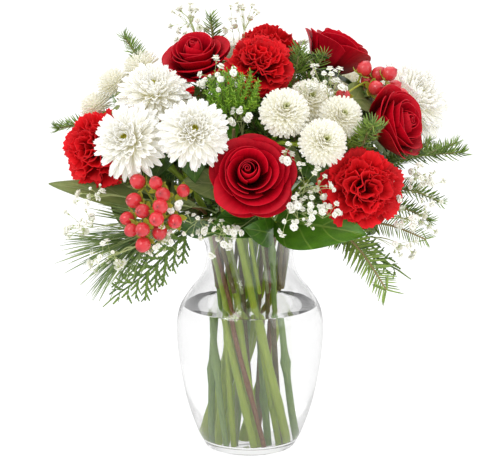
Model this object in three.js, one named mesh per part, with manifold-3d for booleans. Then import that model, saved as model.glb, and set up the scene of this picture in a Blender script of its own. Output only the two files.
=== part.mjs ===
// A bouquet of carnations with roses, chrysanthemums, berries and winter greens, in a clear glass vase.
// Millimetres, +Z up, the front towards -Y. The origin is the centre of the vase's foot, on the table.
import * as THREE from "three";
import { mergeVertices } from "three/addons/utils/BufferGeometryUtils.js";
import { ConvexGeometry } from "three/addons/geometries/ConvexGeometry.js";
import Module from "manifold-3d";

const wasm = await Module();
wasm.setup();

// ---------------------------------------------------------------- driving dimensions

const GAP = 0.4; // air between neighbouring pieces
const LEAN_GAP = 0.3; // air between the glass and the stems that lean on it
const TURN = 2 * Math.PI;
const GOLDEN_ANGLE = TURN * 0.381966;

// Outside of the vase as [radius, height], from the foot to the rim.
const VASE_OUTSIDE = [
  [38, 0], [42.5, 3], [49, 16], [58, 43], [64.5, 78], [66.9, 108],
  [64.5, 128], [56, 143], [45, 158], [40, 173], [40.2, 186], [47, 203],
];
const VASE_WALL = 2.8;
const VASE_FLOOR = 6.5;
const VASE_SIDES = 20;
const WATER_LEVEL = 131;

// Stems stand in three rings. They cross the neck, turn about the vase's axis, and end on the floor.
const NECK_HEIGHT = 187;
const RIM_CLEAR = 207;
const TUCKED_HEIGHT = 148; // short twigs end in the neck, above the water
const FOOT_HEIGHT = VASE_FLOOR + 1.8;
const STEM_TWIST = THREE.MathUtils.degToRad(78);
const RINGS = {
  outer: { foot: 31 }, // these lean on the glass
  middle: { neck: 21.5, foot: 22 },
  inner: { neck: 11, foot: 12 },
};

// Flower heads: where the middle of the head is, which way it faces, and how far its petals reach.
const ROSES = [
  { name: "rose_front", at: [3, -119, 272], face: [0.02, -0.95, 0.28], reach: 36, ring: "outer" },
  { name: "rose_top_left", at: [-48, -16, 362], face: [-0.18, -0.4, 0.9], reach: 31, ring: "middle" },
  { name: "rose_top_right", at: [76, 28, 356], face: [0.5, 0.22, 0.84], reach: 32, ring: "middle" },
  { name: "rose_right", at: [126, -48, 306], face: [0.82, -0.46, 0.32], reach: 33, ring: "outer" },
  { name: "rose_back", at: [38, 104, 298], face: [0.25, 0.88, 0.4], reach: 34, ring: "outer" },
];
const CARNATIONS = [
  { name: "carnation_front", at: [97, -108, 258], face: [0.25, -0.95, 0.15], reach: 37, ring: "outer" },
  { name: "carnation_top", at: [10, -48, 357], face: [0.08, -0.62, 0.78], reach: 32, ring: "inner" },
  { name: "carnation_crown", at: [18, 14, 366], face: [0.08, 0.3, 0.95], reach: 29, ring: "inner" },
  { name: "carnation_left", at: [-134, -50, 283], face: [-0.86, -0.46, 0.2], reach: 34, ring: "outer" },
  { name: "carnation_back", at: [-62, 96, 292], face: [-0.45, 0.82, 0.35], reach: 34, ring: "outer" },
];
const DAISIES = [
  { name: "daisy_front_left", at: [-102, -95, 298], face: [-0.36, -0.86, 0.36], reach: 34 },
  { name: "daisy_front", at: [-47, -116, 309], face: [0.06, -0.92, 0.4], reach: 32 },
  { name: "daisy_upper_left", at: [-83, -50, 335], face: [-0.2, -0.4, 0.9], reach: 32 },
  { name: "daisy_right", at: [142, 30, 312], face: [0.86, 0.12, 0.5], reach: 36 },
  { name: "daisy_back", at: [-20, 72, 345], face: [-0.1, 0.66, 0.74], reach: 34 },
];
const DAISY_STEMS = [
  {
    name: "daisy_stem_left",
    heads: ["daisy_front_left", "daisy_front", "daisy_upper_left"],
    ring: "outer",
  },
  { name: "daisy_stem_right", heads: ["daisy_right"], ring: "outer" },
  { name: "daisy_stem_back", heads: ["daisy_back"], ring: "middle" },
];
// Button chrysanthemums; the ones in one cluster touch each other and are one piece.
const BUTTONS = [
  { name: "button_right_1", heads: [{ at: [29, -97, 322], reach: 22 }], face: [0.1, -0.85, 0.5] },
  { name: "button_right_2", heads: [{ at: [51, -55, 325], reach: 21 }], face: [0.2, -0.6, 0.77] },
  { name: "button_right_3", heads: [{ at: [77, -78, 315], reach: 19 }], face: [0.3, -0.75, 0.6] },
  { name: "button_right_4", heads: [{ at: [61, -112, 299], reach: 21 }], face: [0.2, -0.9, 0.4] },
  {
    name: "buttons_left",
    heads: [
      { at: [-96, -2, 348], reach: 18 },
      { at: [-121, -8, 334], reach: 16 },
      { at: [-137, -16, 315], reach: 15 },
    ],
    face: [-0.6, 0.1, 0.8],
  },
  {
    name: "buttons_back",
    heads: [{ at: [92, 92, 320], reach: 21 }, { at: [66, 86, 336], reach: 20 }],
    face: [0.6, 0.5, 0.62],
  },
];
const BUTTON_STEMS = [
  { name: "button_stem_right", heads: BUTTONS.slice(0, 4).map((b) => b.name), ring: "middle" },
  { name: "button_stem_left", heads: ["buttons_left"], ring: "middle" },
  { name: "button_stem_back", heads: ["buttons_back"], ring: "outer" },
];
// Berry sprays: the root of the spray, where its berries gather, and how wide they spread.
const BERRY_SPRAYS = [
  {
    name: "berries_left", ring: "outer", count: 7,
    root: [-58, -62, 238], at: [-84, -112, 240], spread: [30, 18, 32],
  },
  {
    name: "berries_right", ring: "middle", count: 5,
    root: [86, -12, 306], at: [108, -8, 340], spread: [20, 14, 15],
  },
];
// Baby's breath: the root of the spray, and the middles of its clouds of florets.
const BREATH_SPRAYS = [
  {
    name: "breath_left", root: [-46, -60, 214], ring: "outer", tucked: true,
    clouds: [[-120, -118, 202], [-144, -104, 224], [-76, -120, 214]],
  },
  {
    name: "breath_middle", root: [34, -62, 240], ring: "outer", tucked: true,
    clouds: [[54, -118, 262], [-26, -100, 214], [40, -130, 236]],
  },
  {
    name: "breath_right", root: [70, -36, 236], ring: "outer", tucked: true,
    clouds: [[142, -86, 226], [150, -66, 250], [70, -60, 350]],
  },
  {
    name: "breath_top", root: [-24, 16, 318], ring: "inner",
    clouds: [[-54, 20, 388], [-8, -4, 392], [-24, -78, 352]],
  },
];
// Evergreen twigs: root, tip, needle length, how many side shoots, and whether the needles lie flat.
const FIR_TWIGS = [
  {
    name: "fir_right", ring: "outer", tucked: true,
    root: [80, -6, 240], tip: [193, -40, 279], needle: 15, shoots: 1,
  },
  {
    name: "fir_lower_right", ring: "outer", tucked: true,
    root: [72, -54, 218], tip: [122, -92, 160], needle: 17, shoots: 1, flat: true,
  },
  {
    name: "fir_side", ring: "outer", tucked: true,
    root: [84, -50, 218], tip: [158, -78, 206], needle: 13, shoots: 0,
  },
  {
    name: "fir_middle", ring: "middle",
    root: [92, -70, 276], tip: [104, -112, 316], needle: 15, shoots: 0,
  },
  {
    name: "fir_top", ring: "inner",
    root: [36, -18, 318], tip: [44, -30, 372], needle: 14, shoots: 0,
  },
  {
    name: "fir_left", ring: "outer", tucked: true,
    root: [-96, 24, 286], tip: [-178, 2, 292], needle: 13, shoots: 0,
  },
  {
    name: "fir_back", ring: "outer", tucked: true,
    root: [-8, 72, 238], tip: [-20, 156, 264], needle: 15, shoots: 1,
  },
];
// A pine twig's needles all sweep towards its fan.
const PINE_TWIGS = [
  {
    name: "pine_left", ring: "outer", tucked: true,
    root: [-60, -46, 220], tip: [-104, -82, 206], needle: 72, fan: [-0.8, -0.4, -0.2],
  },
];
// A cedar frond's branchlets lie in the plane square to the direction that it is flat to.
const CEDAR_FRONDS = [
  {
    name: "cedar_left", ring: "outer", tucked: true,
    root: [-52, -66, 216], tip: [-120, -106, 161], reach: 34, flatTo: [0.3, 1, 0.3],
  },
  {
    name: "cedar_right", ring: "outer", tucked: true,
    root: [74, -36, 214], tip: [134, -70, 176], reach: 26, flatTo: [-0.2, 1, 0.4],
  },
  {
    name: "cedar_middle", ring: "inner",
    root: [-14, -72, 304], tip: [-14, -92, 356], reach: 26, flatTo: [0, 1, 0],
  },
];
// Broad leaves on their branches: each leaf's foot, tip and half width.
const LEAF_BRANCHES = [
  {
    name: "leaves_front", root: [20, -58, 220], ring: "outer", tucked: true,
    leaves: [{ tip: [98, -122, 212], half: 26 }, { tip: [-34, -92, 216], half: 13 }],
  },
  {
    name: "leaves_left", root: [-62, -38, 228], ring: "outer", tucked: true,
    leaves: [{ tip: [-176, -56, 238], half: 20, arch: 0.02 }, { tip: [-104, -92, 258], half: 15 }],
  },
  {
    name: "leaves_back", root: [18, 62, 222], ring: "outer", tucked: true,
    leaves: [{ tip: [98, 108, 224], half: 24 }, { tip: [-66, 112, 218], half: 22 }],
  },
];

const STEM_RADIUS = {
  rose: 3.6, carnation: 2.7, daisy: 3.2, button: 2.4,
  berries: 2.0, twig: 2.0, breath: 1.4, leaf: 1.8,
};
const STEM_SIDES = 5;
const TWIG_SIDES = 4;
const NEEDLE_SPACING = 7.4;
const PINE_SPACING = 6;
const CEDAR_SPACING = 8;
const CEDAR_BRANCHLETS = 3;
const BERRY_RADIUS = 6.2;
const FLORET_RADIUS = 3.2;
const LEAF_THICK = 1.1;
const ROSE_PETAL_THICK = 1.1;
const CARNATION_PETAL_THICK = 0.9;
const DAISY_PETAL_THICK = 1.2;
const CARNATION_PETALS = 5;
const ROSE_PETALS = 5;
const DAISY_PETALS = 11;
const CLEAN_STEP = 0.01; // how far a point may move when a cut body's slivers are merged
const CLEAN_END = 0.05;
const FRILL_POINTS = 7; // along a carnation petal's edge, every other one a tooth

// How far each head's stem ends below the head's middle, as a share of the head's reach.
const HEAD_DEPTH = { rose: 0.74, carnation: 0.56, daisy: 0.3, button: 0.72 };

// A head's core is bands: every other band carries a layer of petals, outside in, and the bands between
// turn by half a petal, so that the layers are staggered. All are shares of the head's reach.
const ROSE_CORE = [
  [0.15, -0.74], [0.19, -0.68], [0.2, -0.645], [0.19, -0.59], [0.16, -0.49], [0.13, -0.42], [0.07, 0.28],
];
const ROSE_LAYERS = [
  // a petal's rows of [radius, height, width]
  [[0.56, -0.47, 0.92], [0.88, -0.1, 1.06], [1.0, -0.04, 0.62]],
  [[0.47, -0.3, 0.92], [0.62, 0.14, 1.1], [0.72, 0.24, 0.66]],
  [[0.31, -0.15, 0.92], [0.36, 0.38, 1.1]],
];
const CARNATION_CORE = [
  [0.09, -0.56], [0.19, -0.48], [0.22, -0.44], [0.24, -0.32], [0.22, -0.28], [0.14, -0.16],
];
const CARNATION_LAYERS = [
  // lift is a petal's rise in radians, reach its length and half its half width, in radians
  { lift: -0.05, reach: 0.95, half: 0.58 },
  { lift: 0.36, reach: 1.02, half: 0.58 },
  { lift: 0.92, reach: 0.98, half: 0.56 },
];
const DAISY_CORE = [
  [0.14, -0.3], [0.26, -0.23], [0.28, -0.2], [0.3, -0.13], [0.29, -0.1], [0.25, -0.03], [0.12, 0.04],
];
const DAISY_LAYERS = [
  { lift: -0.06, reach: 1.0 },
  { lift: 0.3, reach: 0.88 },
  { lift: 0.75, reach: 0.66, every: 2 },
];

// ---------------------------------------------------------------- small helpers

const UP = new THREE.Vector3(0, 0, 1);
const vec = (p) => new THREE.Vector3(...p);
const mix = (a, b, t) => a + (b - a) * t;
const midpoint = (a, b) => a.clone().lerp(b, 0.5);

/** A point from its distance from the axis, its bearing and its height. */
function polar(radius, angle, height) {
  return new THREE.Vector3(radius * Math.cos(angle), radius * Math.sin(angle), height);
}

/** A repeatable stream of numbers from 0 to 1. */
function draws(seed) {
  let state = seed * 2654435761;
  return () => {
    state = (state + 0x6d2b79f5) | 0;
    let t = Math.imul(state ^ (state >>> 15), 1 | state);
    t = (t + Math.imul(t ^ (t >>> 7), 61 | t)) ^ t;
    return ((t ^ (t >>> 14)) >>> 0) / 4294967296;
  };
}

/** A closed geometry as a solid that can be joined and cut. */
function solidOf(geometry) {
  const bare = new THREE.BufferGeometry().setAttribute("position", geometry.getAttribute("position"));
  bare.setIndex(geometry.index);
  const merged = mergeVertices(bare, 1e-4);
  const vertProperties = merged.attributes.position.array;
  const triVerts = new Uint32Array(merged.index.array);
  return new wasm.Manifold(new wasm.Mesh({ numProp: 3, vertProperties, triVerts }));
}

/** A solid as a geometry. */
function geometryOf(solid) {
  const { vertProperties, triVerts } = solid.getMesh();
  const geometry = new THREE.BufferGeometry();
  geometry.setAttribute("position", new THREE.BufferAttribute(vertProperties, 3));
  geometry.setIndex(new THREE.BufferAttribute(triVerts, 1));
  geometry.computeVertexNormals();
  return geometry;
}

const fuse = (geometries) => geometries.map(solidOf).reduce((joined, solid) => joined.add(solid));

/** The largest body of a solid; loose scraps are dropped. */
function mainBody(solid) {
  const bodies = solid.decompose();
  return bodies.reduce((best, body) => (body.volume() > best.volume() ? body : best), bodies[0]);
}

/** A geometry from points and triangles of point numbers. */
function polyhedron(points, triangles) {
  const geometry = new THREE.BufferGeometry();
  const places = points.flatMap((p) => [p.x, p.y, p.z]);
  geometry.setAttribute("position", new THREE.Float32BufferAttribute(places, 3));
  geometry.setIndex(triangles.flat());
  return geometry;
}

/** Fills the strip between two chains of point numbers that run the same way. */
function strip(near, far, flipped = false) {
  const made = [];
  let i = 0;
  let j = 0;
  const [iEnd, jEnd] = [near.length - 1, far.length - 1];
  while (i < iEnd || j < jEnd) {
    const nearIsDue = i < iEnd && (i + 0.5) / iEnd <= (j + 0.5) / jEnd;
    if (nearIsDue || j === jEnd) made.push([near[i], near[++i], far[j]]);
    else made.push([near[i], far[j + 1], far[j++]]);
  }
  return flipped ? made.map(([a, b, c]) => [a, c, b]) : made;
}

/**
 * Raises a petal from a face with the given corners. Its rows are points on its middle surface, from left
 * to right, and both its faces are split alike, so that a waved petal never crosses itself.
 */
function raisePetal([a, b, c, d], { rows, thick }, points, triangles) {
  const add = (p) => points.push(p) - 1;
  let under = [a, b];
  let upper = [d, c];
  let before = [midpoint(points[a], points[d]), midpoint(points[b], points[c])];
  for (const row of rows) {
    const last = row.length - 1;
    const normals = row.map((p, k) => {
      const along = p.clone().sub(before[Math.round((k / last) * (before.length - 1))]);
      const across = row[Math.min(k + 1, last)].clone().sub(row[Math.max(k - 1, 0)]);
      return along.cross(across).setLength(thick / 2);
    });
    const nextUnder = row.map((p, k) => add(p.clone().sub(normals[k])));
    const nextUpper = row.map((p, k) => add(p.clone().add(normals[k])));
    triangles.push(...strip(under, nextUnder), ...strip(upper, nextUpper, true));
    triangles.push(...strip([under.at(-1), upper.at(-1)], [nextUnder.at(-1), nextUpper.at(-1)]));
    triangles.push(...strip([upper[0], under[0]], [nextUpper[0], nextUnder[0]]));
    [under, upper, before] = [nextUnder, nextUpper, row];
  }
  triangles.push(...strip(under, upper));
}

/**
 * A closed body skinned over rings of points that run anticlockwise seen from the last ring.
 * raise(ring, side, corners) may raise a face into a tip or a petal.
 */
function skin(rings, raise = () => null) {
  const sides = rings[0].length;
  const points = rings.flat();
  const triangles = [];
  for (let i = 1; i < sides - 1; i++) triangles.push([0, i + 1, i]);
  for (let r = 0; r < rings.length - 1; r++)
    for (let i = 0; i < sides; i++) {
      const low = [r * sides + i, r * sides + ((i + 1) % sides)];
      const face = [low[0], low[1], low[1] + sides, low[0] + sides];
      const grown = raise(r, i, face.map((k) => points[k]));
      if (!grown) triangles.push(...strip(low, [face[3], face[2]]));
      else if (grown.rows) raisePetal(face, grown, points, triangles);
      else {
        const tip = points.push(grown.tip) - 1;
        face.forEach((k, n) => triangles.push([k, face[(n + 1) % 4], tip]));
      }
    }
  const last = (rings.length - 1) * sides;
  for (let i = 1; i < sides - 1; i++) triangles.push([last, last + i, last + i + 1]);
  return polyhedron(points, triangles);
}

/** Rings of points square to a line, each with its radius; extra grows them and both ends outwards. */
function ringsAlong(line, radii, sides, extra) {
  const side = new THREE.Vector3();
  const end = line.length - 1;
  return line.map((p, i) => {
    const direction = line[Math.min(i + 1, end)].clone().sub(line[Math.max(i - 1, 0)]).normalize();
    const shift = i === 0 ? -extra : i === end ? extra : 0;
    if (i === 0) side.set(direction.z, direction.x, -direction.y);
    side.addScaledVector(direction, -side.dot(direction)).normalize();
    const other = direction.clone().cross(side);
    return Array.from({ length: sides }, (_, k) => {
      const angle = ((k + 0.5) / sides) * TURN;
      const out = side.clone().multiplyScalar(Math.cos(angle)).addScaledVector(other, Math.sin(angle));
      return p.clone().addScaledVector(direction, shift).addScaledVector(out, radii[i] + extra);
    });
  });
}

/** A stalk along a line, thinning from its first radius to its last. */
function stalk(line, first, last, sides, extra) {
  return skin(ringsAlong(line, line.map((_, i) => mix(first, last, i / (line.length - 1))), sides, extra));
}

/** A ball or bead on a thin stalk, in one body. */
function bead(foot, middle, radius, thin, sides, extra) {
  const out = middle.clone().sub(foot).normalize();
  const low = middle.clone().addScaledVector(out, -radius * 0.95);
  const high = middle.clone().addScaledVector(out, radius * 0.9);
  return skin(ringsAlong([foot, low, middle, high], [thin, thin, radius, radius * 0.45], sides, extra));
}

/** Turns a geometry from +Z to face a direction, and moves it to a place. */
function placed(geometry, at, face, roll = 0) {
  const turn = new THREE.Quaternion().setFromUnitVectors(UP, vec(face).normalize());
  turn.multiply(new THREE.Quaternion().setFromAxisAngle(UP, roll));
  return geometry.applyMatrix4(new THREE.Matrix4().compose(vec(at), turn, new THREE.Vector3(1, 1, 1)));
}

/** The room that a head takes: its convex outline, grown by the gap. */
function roomRound(geometry) {
  const position = geometry.getAttribute("position");
  const pointAt = (_, i) => new THREE.Vector3().fromBufferAttribute(position, i);
  const points = Array.from({ length: position.count }, pointAt);
  const middle = points.reduce((sum, p) => sum.add(p), new THREE.Vector3()).divideScalar(points.length);
  return new ConvexGeometry(points.map((p) => p.clone().add(p.clone().sub(middle).setLength(1.3 * GAP))));
}

// ---------------------------------------------------------------- the vase and its water

/** A body of revolution about Z from a [radius, height] profile that starts and ends on the axis. */
function turned(profile) {
  const outline = profile.map(([r, z]) => new THREE.Vector2(r, z));
  return new THREE.LatheGeometry(outline, VASE_SIDES).rotateX(Math.PI / 2);
}

/** The vase's inner radius at a height, further in by a margin. */
function insideRadius(height, margin) {
  const above = VASE_OUTSIDE.findIndex(([, z]) => z >= height);
  const [r0, z0] = VASE_OUTSIDE[above - 1];
  const [r1, z1] = VASE_OUTSIDE[above];
  return mix(r0, r1, (height - z0) / (z1 - z0)) - VASE_WALL - margin;
}

/** The profile inside the vase, from its floor's middle up to a height. */
function insideProfile(top, margin) {
  const floor = VASE_FLOOR + margin;
  const heights = VASE_OUTSIDE.map(([, z]) => z).filter((z) => z > floor + 6 && z < top - 4);
  const wall = [floor + 3, ...heights, top].map((z) => [insideRadius(z, margin), z]);
  return [[0, floor], [insideRadius(floor, margin) - 4, floor], ...wall];
}

const VASE_RIM = VASE_OUTSIDE.at(-1)[1];
const vaseBody = () => turned([[0, 0], ...VASE_OUTSIDE, ...insideProfile(VASE_RIM, 0).reverse()]);
const waterBody = () => turned([...insideProfile(WATER_LEVEL, GAP), [0, WATER_LEVEL]]);

// ---------------------------------------------------------------- flower heads, facing +Z, middle at 0

/** The rings of a head's core; every other band turns by half a petal. */
function coreRings(core, reach, petals) {
  return core.map(([r, z], k) => {
    const turn = Math.floor(k / 2) / 2;
    const corner = (_, i) => polar(reach * r, ((i + turn) / petals) * TURN, reach * z);
    return Array.from({ length: petals }, corner);
  });
}

/** The layer of petals that a band of the core carries, if any. */
const layerAt = (layers, band) => (band % 2 ? undefined : layers[band / 2]);

/** The bearing of a face of the core. */
function bearingOf(corners) {
  const sum = corners.reduce((s, p) => s.add(p), new THREE.Vector3());
  return Math.atan2(sum.y, sum.x);
}

/** A rose: layers of wide petals, the outer ones open and the inner ones cupped. */
function roseHead(reach) {
  const slot = TURN / ROSE_PETALS;
  return skin(coreRings(ROSE_CORE, reach, ROSE_PETALS), (ring, side, corners) => {
    const layer = layerAt(ROSE_LAYERS, ring);
    if (!layer) return null;
    const middle = bearingOf(corners);
    const rows = layer.map(([radius, height, width], k) =>
      [-1, 0, 1].map((s) => {
        const tilt = 1 + 0.1 * s; // one edge lies over the next petal, the other under it
        const round = k === layer.length - 1 ? 0.07 * s * s : 0;
        return polar(reach * radius * tilt, middle + (s * width * slot) / 2, reach * (height - round));
      }),
    );
    return { rows, thick: ROSE_PETAL_THICK };
  });
}

/** A carnation: layers of wide petals, each pleated and cut into teeth along its edge. */
function carnationHead(reach, seed) {
  const rng = draws(seed);
  return skin(coreRings(CARNATION_CORE, reach, CARNATION_PETALS), (ring, side, corners) => {
    const layer = layerAt(CARNATION_LAYERS, ring);
    if (!layer) return null;
    const middle = bearingOf(corners);
    const lift = layer.lift + 0.1 * (rng() - 0.5);
    const edge = Array.from({ length: FRILL_POINTS }, (_, i) => {
      const s = (2 * i) / (FRILL_POINTS - 1) - 1;
      const tooth = i % 2;
      const long = reach * layer.reach * (tooth ? 1 : 0.87) * (1 - 0.08 * s * s) * mix(0.96, 1.02, rng());
      const rise = lift + (tooth ? 0.07 : -0.07);
      const angle = middle + s * layer.half;
      return polar(long * Math.cos(rise), angle, long * Math.sin(rise) - 0.38 * reach);
    });
    return { rows: [edge], thick: CARNATION_PETAL_THICK };
  });
}

/** A daisy chrysanthemum: layers of strap petals round a low eye. */
function daisyHead(reach, seed) {
  const rng = draws(seed);
  return skin(coreRings(DAISY_CORE, reach, DAISY_PETALS), (ring, side, corners) => {
    const layer = layerAt(DAISY_LAYERS, ring);
    if (!layer || side % (layer.every ?? 1)) return null;
    const middle = bearingOf(corners) + 0.08 * (rng() - 0.5);
    const lift = layer.lift + 0.12 * (rng() - 0.5);
    const long = reach * layer.reach * mix(0.93, 1, rng());
    const half = 0.115 * reach;
    const end = polar(long * Math.cos(lift), middle, long * Math.sin(lift) - 0.12 * reach);
    const across = polar(half, middle + Math.PI / 2, 0);
    return { rows: [[end.clone().sub(across), end.clone().add(across)]], thick: DAISY_PETAL_THICK };
  });
}

/** A button chrysanthemum: points spread evenly over a ball, every third one raised into a petal tip. */
function buttonHead(reach, count) {
  const points = Array.from({ length: count }, (_, i) => {
    const height = 1 - (2 * (i + 0.5)) / count;
    return polar(Math.sqrt(1 - height ** 2), i * GOLDEN_ANGLE, height);
  });
  const geometry = mergeVertices(new ConvexGeometry(points).deleteAttribute("normal"), 1e-4);
  const position = geometry.getAttribute("position");
  for (let k = 0; k < position.count; k++) {
    const place = Math.round(((1 - position.getZ(k)) * count) / 2 - 0.5);
    const far = reach * (place % 3 ? 0.86 : 1);
    position.setXYZ(k, position.getX(k) * far, position.getY(k) * far, position.getZ(k) * far);
  }
  return geometry.scale(1, 1, 0.84);
}

// ---------------------------------------------------------------- stems

/** Deals the stems of one ring round the neck in the order of their heads' bearings, evenly spaced. */
function dealRing(members, { neck, foot }) {
  const bearing = (m) => Math.atan2(m.goal[1], m.goal[0]);
  const order = [...members].sort((a, b) => bearing(a) - bearing(b));
  const step = TURN / order.length;
  const shift = order.reduce((sum, m, i) => sum + bearing(m) - i * step, 0) / order.length;
  const onGlass = insideRadius(NECK_HEIGHT, LEAN_GAP) * Math.cos(Math.PI / VASE_SIDES);
  order.forEach((m, i) => {
    const angle = shift + i * step;
    const lean = neck ?? onGlass - m.thick;
    m.neck = polar(lean, angle, NECK_HEIGHT);
    const floor = polar(foot, angle + STEM_TWIST, FOOT_HEIGHT);
    const tucked = (TUCKED_HEIGHT - FOOT_HEIGHT) / (NECK_HEIGHT - FOOT_HEIGHT);
    m.foot = m.tucked ? floor.clone().lerp(m.neck, tucked) : floor;
    m.rise = m.neck.clone().sub(floor).normalize();
  });
}

/** The line of a stem: straight from its foot past the rim, then a smooth bend to where it ends. */
function stemLine(member, end, endDirection, steps = 4) {
  const rim = member.neck.clone().addScaledVector(member.rise, (RIM_CLEAR - NECK_HEIGHT) / member.rise.z);
  const reach = end.distanceTo(rim) * 0.4;
  const bend = new THREE.CubicBezierCurve3(
    rim,
    rim.clone().addScaledVector(member.rise, reach * 0.6),
    end.clone().addScaledVector(endDirection, -reach),
    end,
  );
  return [member.foot, rim, ...Array.from({ length: steps }, (_, i) => bend.getPoint((i + 1) / steps))];
}

/** A rose's green parts in one body: the stem, the swollen hip under the head, and five sepals. */
function roseStem(rose, extra) {
  const face = vec(rose.face).normalize();
  const top = vec(rose.at).addScaledVector(face, -HEAD_DEPTH.rose * rose.reach - 1.6 * GAP);
  const below = (distance) => top.clone().addScaledVector(face, -distance);
  const thin = STEM_RADIUS.rose;
  const line = [...stemLine(rose, below(14), face), below(9), below(4), top];
  const radii = [...line.slice(0, -3).map(() => thin), 5.4, 6.4, 4.6];
  const sepalBand = line.length - 2;
  return skin(ringsAlong(line, radii, STEM_SIDES, extra), (ring, side, corners) => {
    if (ring !== sepalBand) return null;
    const foot = midpoint(corners[0], corners[2]);
    const out = foot.clone().sub(below(2)).normalize();
    const tip = foot.clone().addScaledVector(out, 14).addScaledVector(face, -7);
    return extra ? null : { tip };
  });
}

/** A carnation's green parts in one body: the stem with its knot, and the long calyx under the head. */
function carnationStem(carnation, extra) {
  const face = vec(carnation.face).normalize();
  const top = vec(carnation.at).addScaledVector(face, -HEAD_DEPTH.carnation * carnation.reach - 1.6 * GAP);
  const below = (distance) => top.clone().addScaledVector(face, -distance);
  const thin = STEM_RADIUS.carnation;
  const [foot, rim, ...bend] = stemLine(carnation, below(25), face, 3);
  const knot = [0.4, 0.43, 0.46].map((t) => foot.clone().lerp(rim, t));
  const line = [foot, ...knot, rim, ...bend, below(14), top];
  const radii = [thin, thin, thin + 2, thin, thin, ...bend.map(() => thin), 5.4, 5.8];
  return skin(ringsAlong(line, radii, STEM_SIDES, extra));
}

/** A branching stem: it runs on to the first head, and forks to the back of each other head. */
function forkedStem(member, radius, depth, extra) {
  const facing = member.heads.map((h) => vec(h.face).normalize());
  const ends = member.heads.map((h, i) => vec(h.at).addScaledVector(facing[i], -depth * h.reach - GAP));
  const line = stemLine(member, ends[0], facing[0], 5);
  const arms = ends.slice(1).map((end, i) => {
    const start = line[2 + i].clone().lerp(line[3 + i], 0.3);
    const up = line[3 + i].clone().sub(line[2 + i]).normalize();
    const reach = end.distanceTo(start) * 0.4;
    const bend = new THREE.CubicBezierCurve3(
      start,
      start.clone().addScaledVector(up, reach),
      end.clone().addScaledVector(facing[i + 1], -reach),
      end,
    );
    return stalk([0, 0.4, 0.7, 1].map((t) => bend.getPoint(t)), radius * 0.72, radius * 0.68, 4, extra);
  });
  return fuse([stalk(line, radius, radius * 0.75, STEM_SIDES, extra), ...arms]);
}

// ---------------------------------------------------------------- sprays and leaves

/** Berries on stalks that leave the main stem one after the other. */
function berrySpray(spray, extra, seed) {
  const rng = draws(seed);
  const middle = vec(spray.at);
  const up = middle.clone().sub(vec(spray.root)).normalize();
  const line = stemLine(spray, middle, up, 3);
  const parts = [stalk(line, STEM_RADIUS.berries, 1.5, STEM_SIDES, extra)];
  for (let i = 0; i < spray.count; i++) {
    const height = 1 - (2 * (i + 0.5)) / spray.count;
    const out = polar(Math.sqrt(1 - height * height), i * GOLDEN_ANGLE, height);
    out.y = 0.6 * out.y - 0.3; // the berries show on the spray's front
    const place = middle.clone().add(out.multiply(vec(spray.spread)).multiplyScalar(mix(0.85, 1, rng())));
    const from = line.at(-1).clone().lerp(line.at(-2), mix(0.05, 0.9, (i + 0.5) / spray.count));
    parts.push(bead(from, place, BERRY_RADIUS, 0.9, 5, extra));
  }
  return fuse(parts);
}

/** Baby's breath: a thin stem that forks to clouds of tiny round florets. */
function breathSpray(spray, extra, seed) {
  const rng = draws(seed);
  const first = vec(spray.clouds[0]);
  const line = stemLine(spray, first, first.clone().sub(vec(spray.root)).normalize(), 3);
  const parts = [stalk(line, STEM_RADIUS.breath, 0.8, 3, extra)];
  spray.clouds.forEach((cloud, k) => {
    const middle = vec(cloud);
    const from = k ? line[2].clone().lerp(line[3], k / 3) : line.at(-2).clone();
    if (k) parts.push(bead(from, middle.clone().lerp(from, -0.08), FLORET_RADIUS, 0.8, 3, extra));
    for (let i = 0; i < 2; i++) {
      const out = polar(1, ((i + 0.6 * rng()) / 2 + k / 5) * TURN, mix(-0.8, 0.9, rng()));
      const start = middle.clone().lerp(from, 0.1 + 0.12 * i);
      const floret = middle.clone().addScaledVector(out, mix(12, 19, rng()));
      parts.push(bead(start, floret, FLORET_RADIUS, 0.45, 3, extra));
    }
  });
  return fuse(parts);
}

/** A needle's tip; with room round it, the needle ends blunt and wider. */
function needleTip(tip, corners, extra) {
  if (!extra) return { tip };
  const foot = midpoint(corners[0], corners[2]);
  const beyond = tip.clone().add(tip.clone().sub(foot).setLength(extra));
  const across = corners[1].clone().sub(corners[0]).setLength(extra);
  return { rows: [[beyond.clone().sub(across), beyond.clone().add(across)]], thick: 2 * extra };
}

/** Points along a smooth curve through a few points, about one spacing apart. */
function spaced(points, spacing) {
  const curve = new THREE.CatmullRomCurve3(points);
  const count = Math.round(curve.getLength() / spacing);
  return Array.from({ length: count }, (_, i) => curve.getPointAt((i + 1) / count));
}

/** The radii of a shoot: one along its bare part, then thinning from a first to a last one. */
function shootRadii(bare, green, radius, first, last) {
  return [...bare.map(() => radius), ...green.map((_, i) => mix(first, last, i / green.length))];
}

/** A needled shoot in one body: bare along its first points, and with needles on each face after them. */
function needledShoot(bare, green, radius, length, flat, extra) {
  const line = [...bare, ...green];
  const radii = shootRadii(bare, green, radius, 1.2, 0.7);
  return skin(ringsAlong(line, radii, flat ? 3 : TWIG_SIDES, extra), (ring, side, corners) => {
    if (ring < bare.length) return null;
    const along = line[ring + 1].clone().sub(line[ring]).normalize();
    const foot = midpoint(corners[0], corners[2]);
    const out = foot.clone().sub(midpoint(line[ring], line[ring + 1])).normalize();
    if (flat && out.z < -0.6) return null;
    const share = mix(1, 0.6, ((ring - bare.length) / green.length) ** 2);
    const lean = out.clone().addScaledVector(along, 0.9).addScaledVector(UP, 0.25).normalize();
    return needleTip(foot.clone().addScaledVector(lean, length * share), corners, extra);
  });
}

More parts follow.
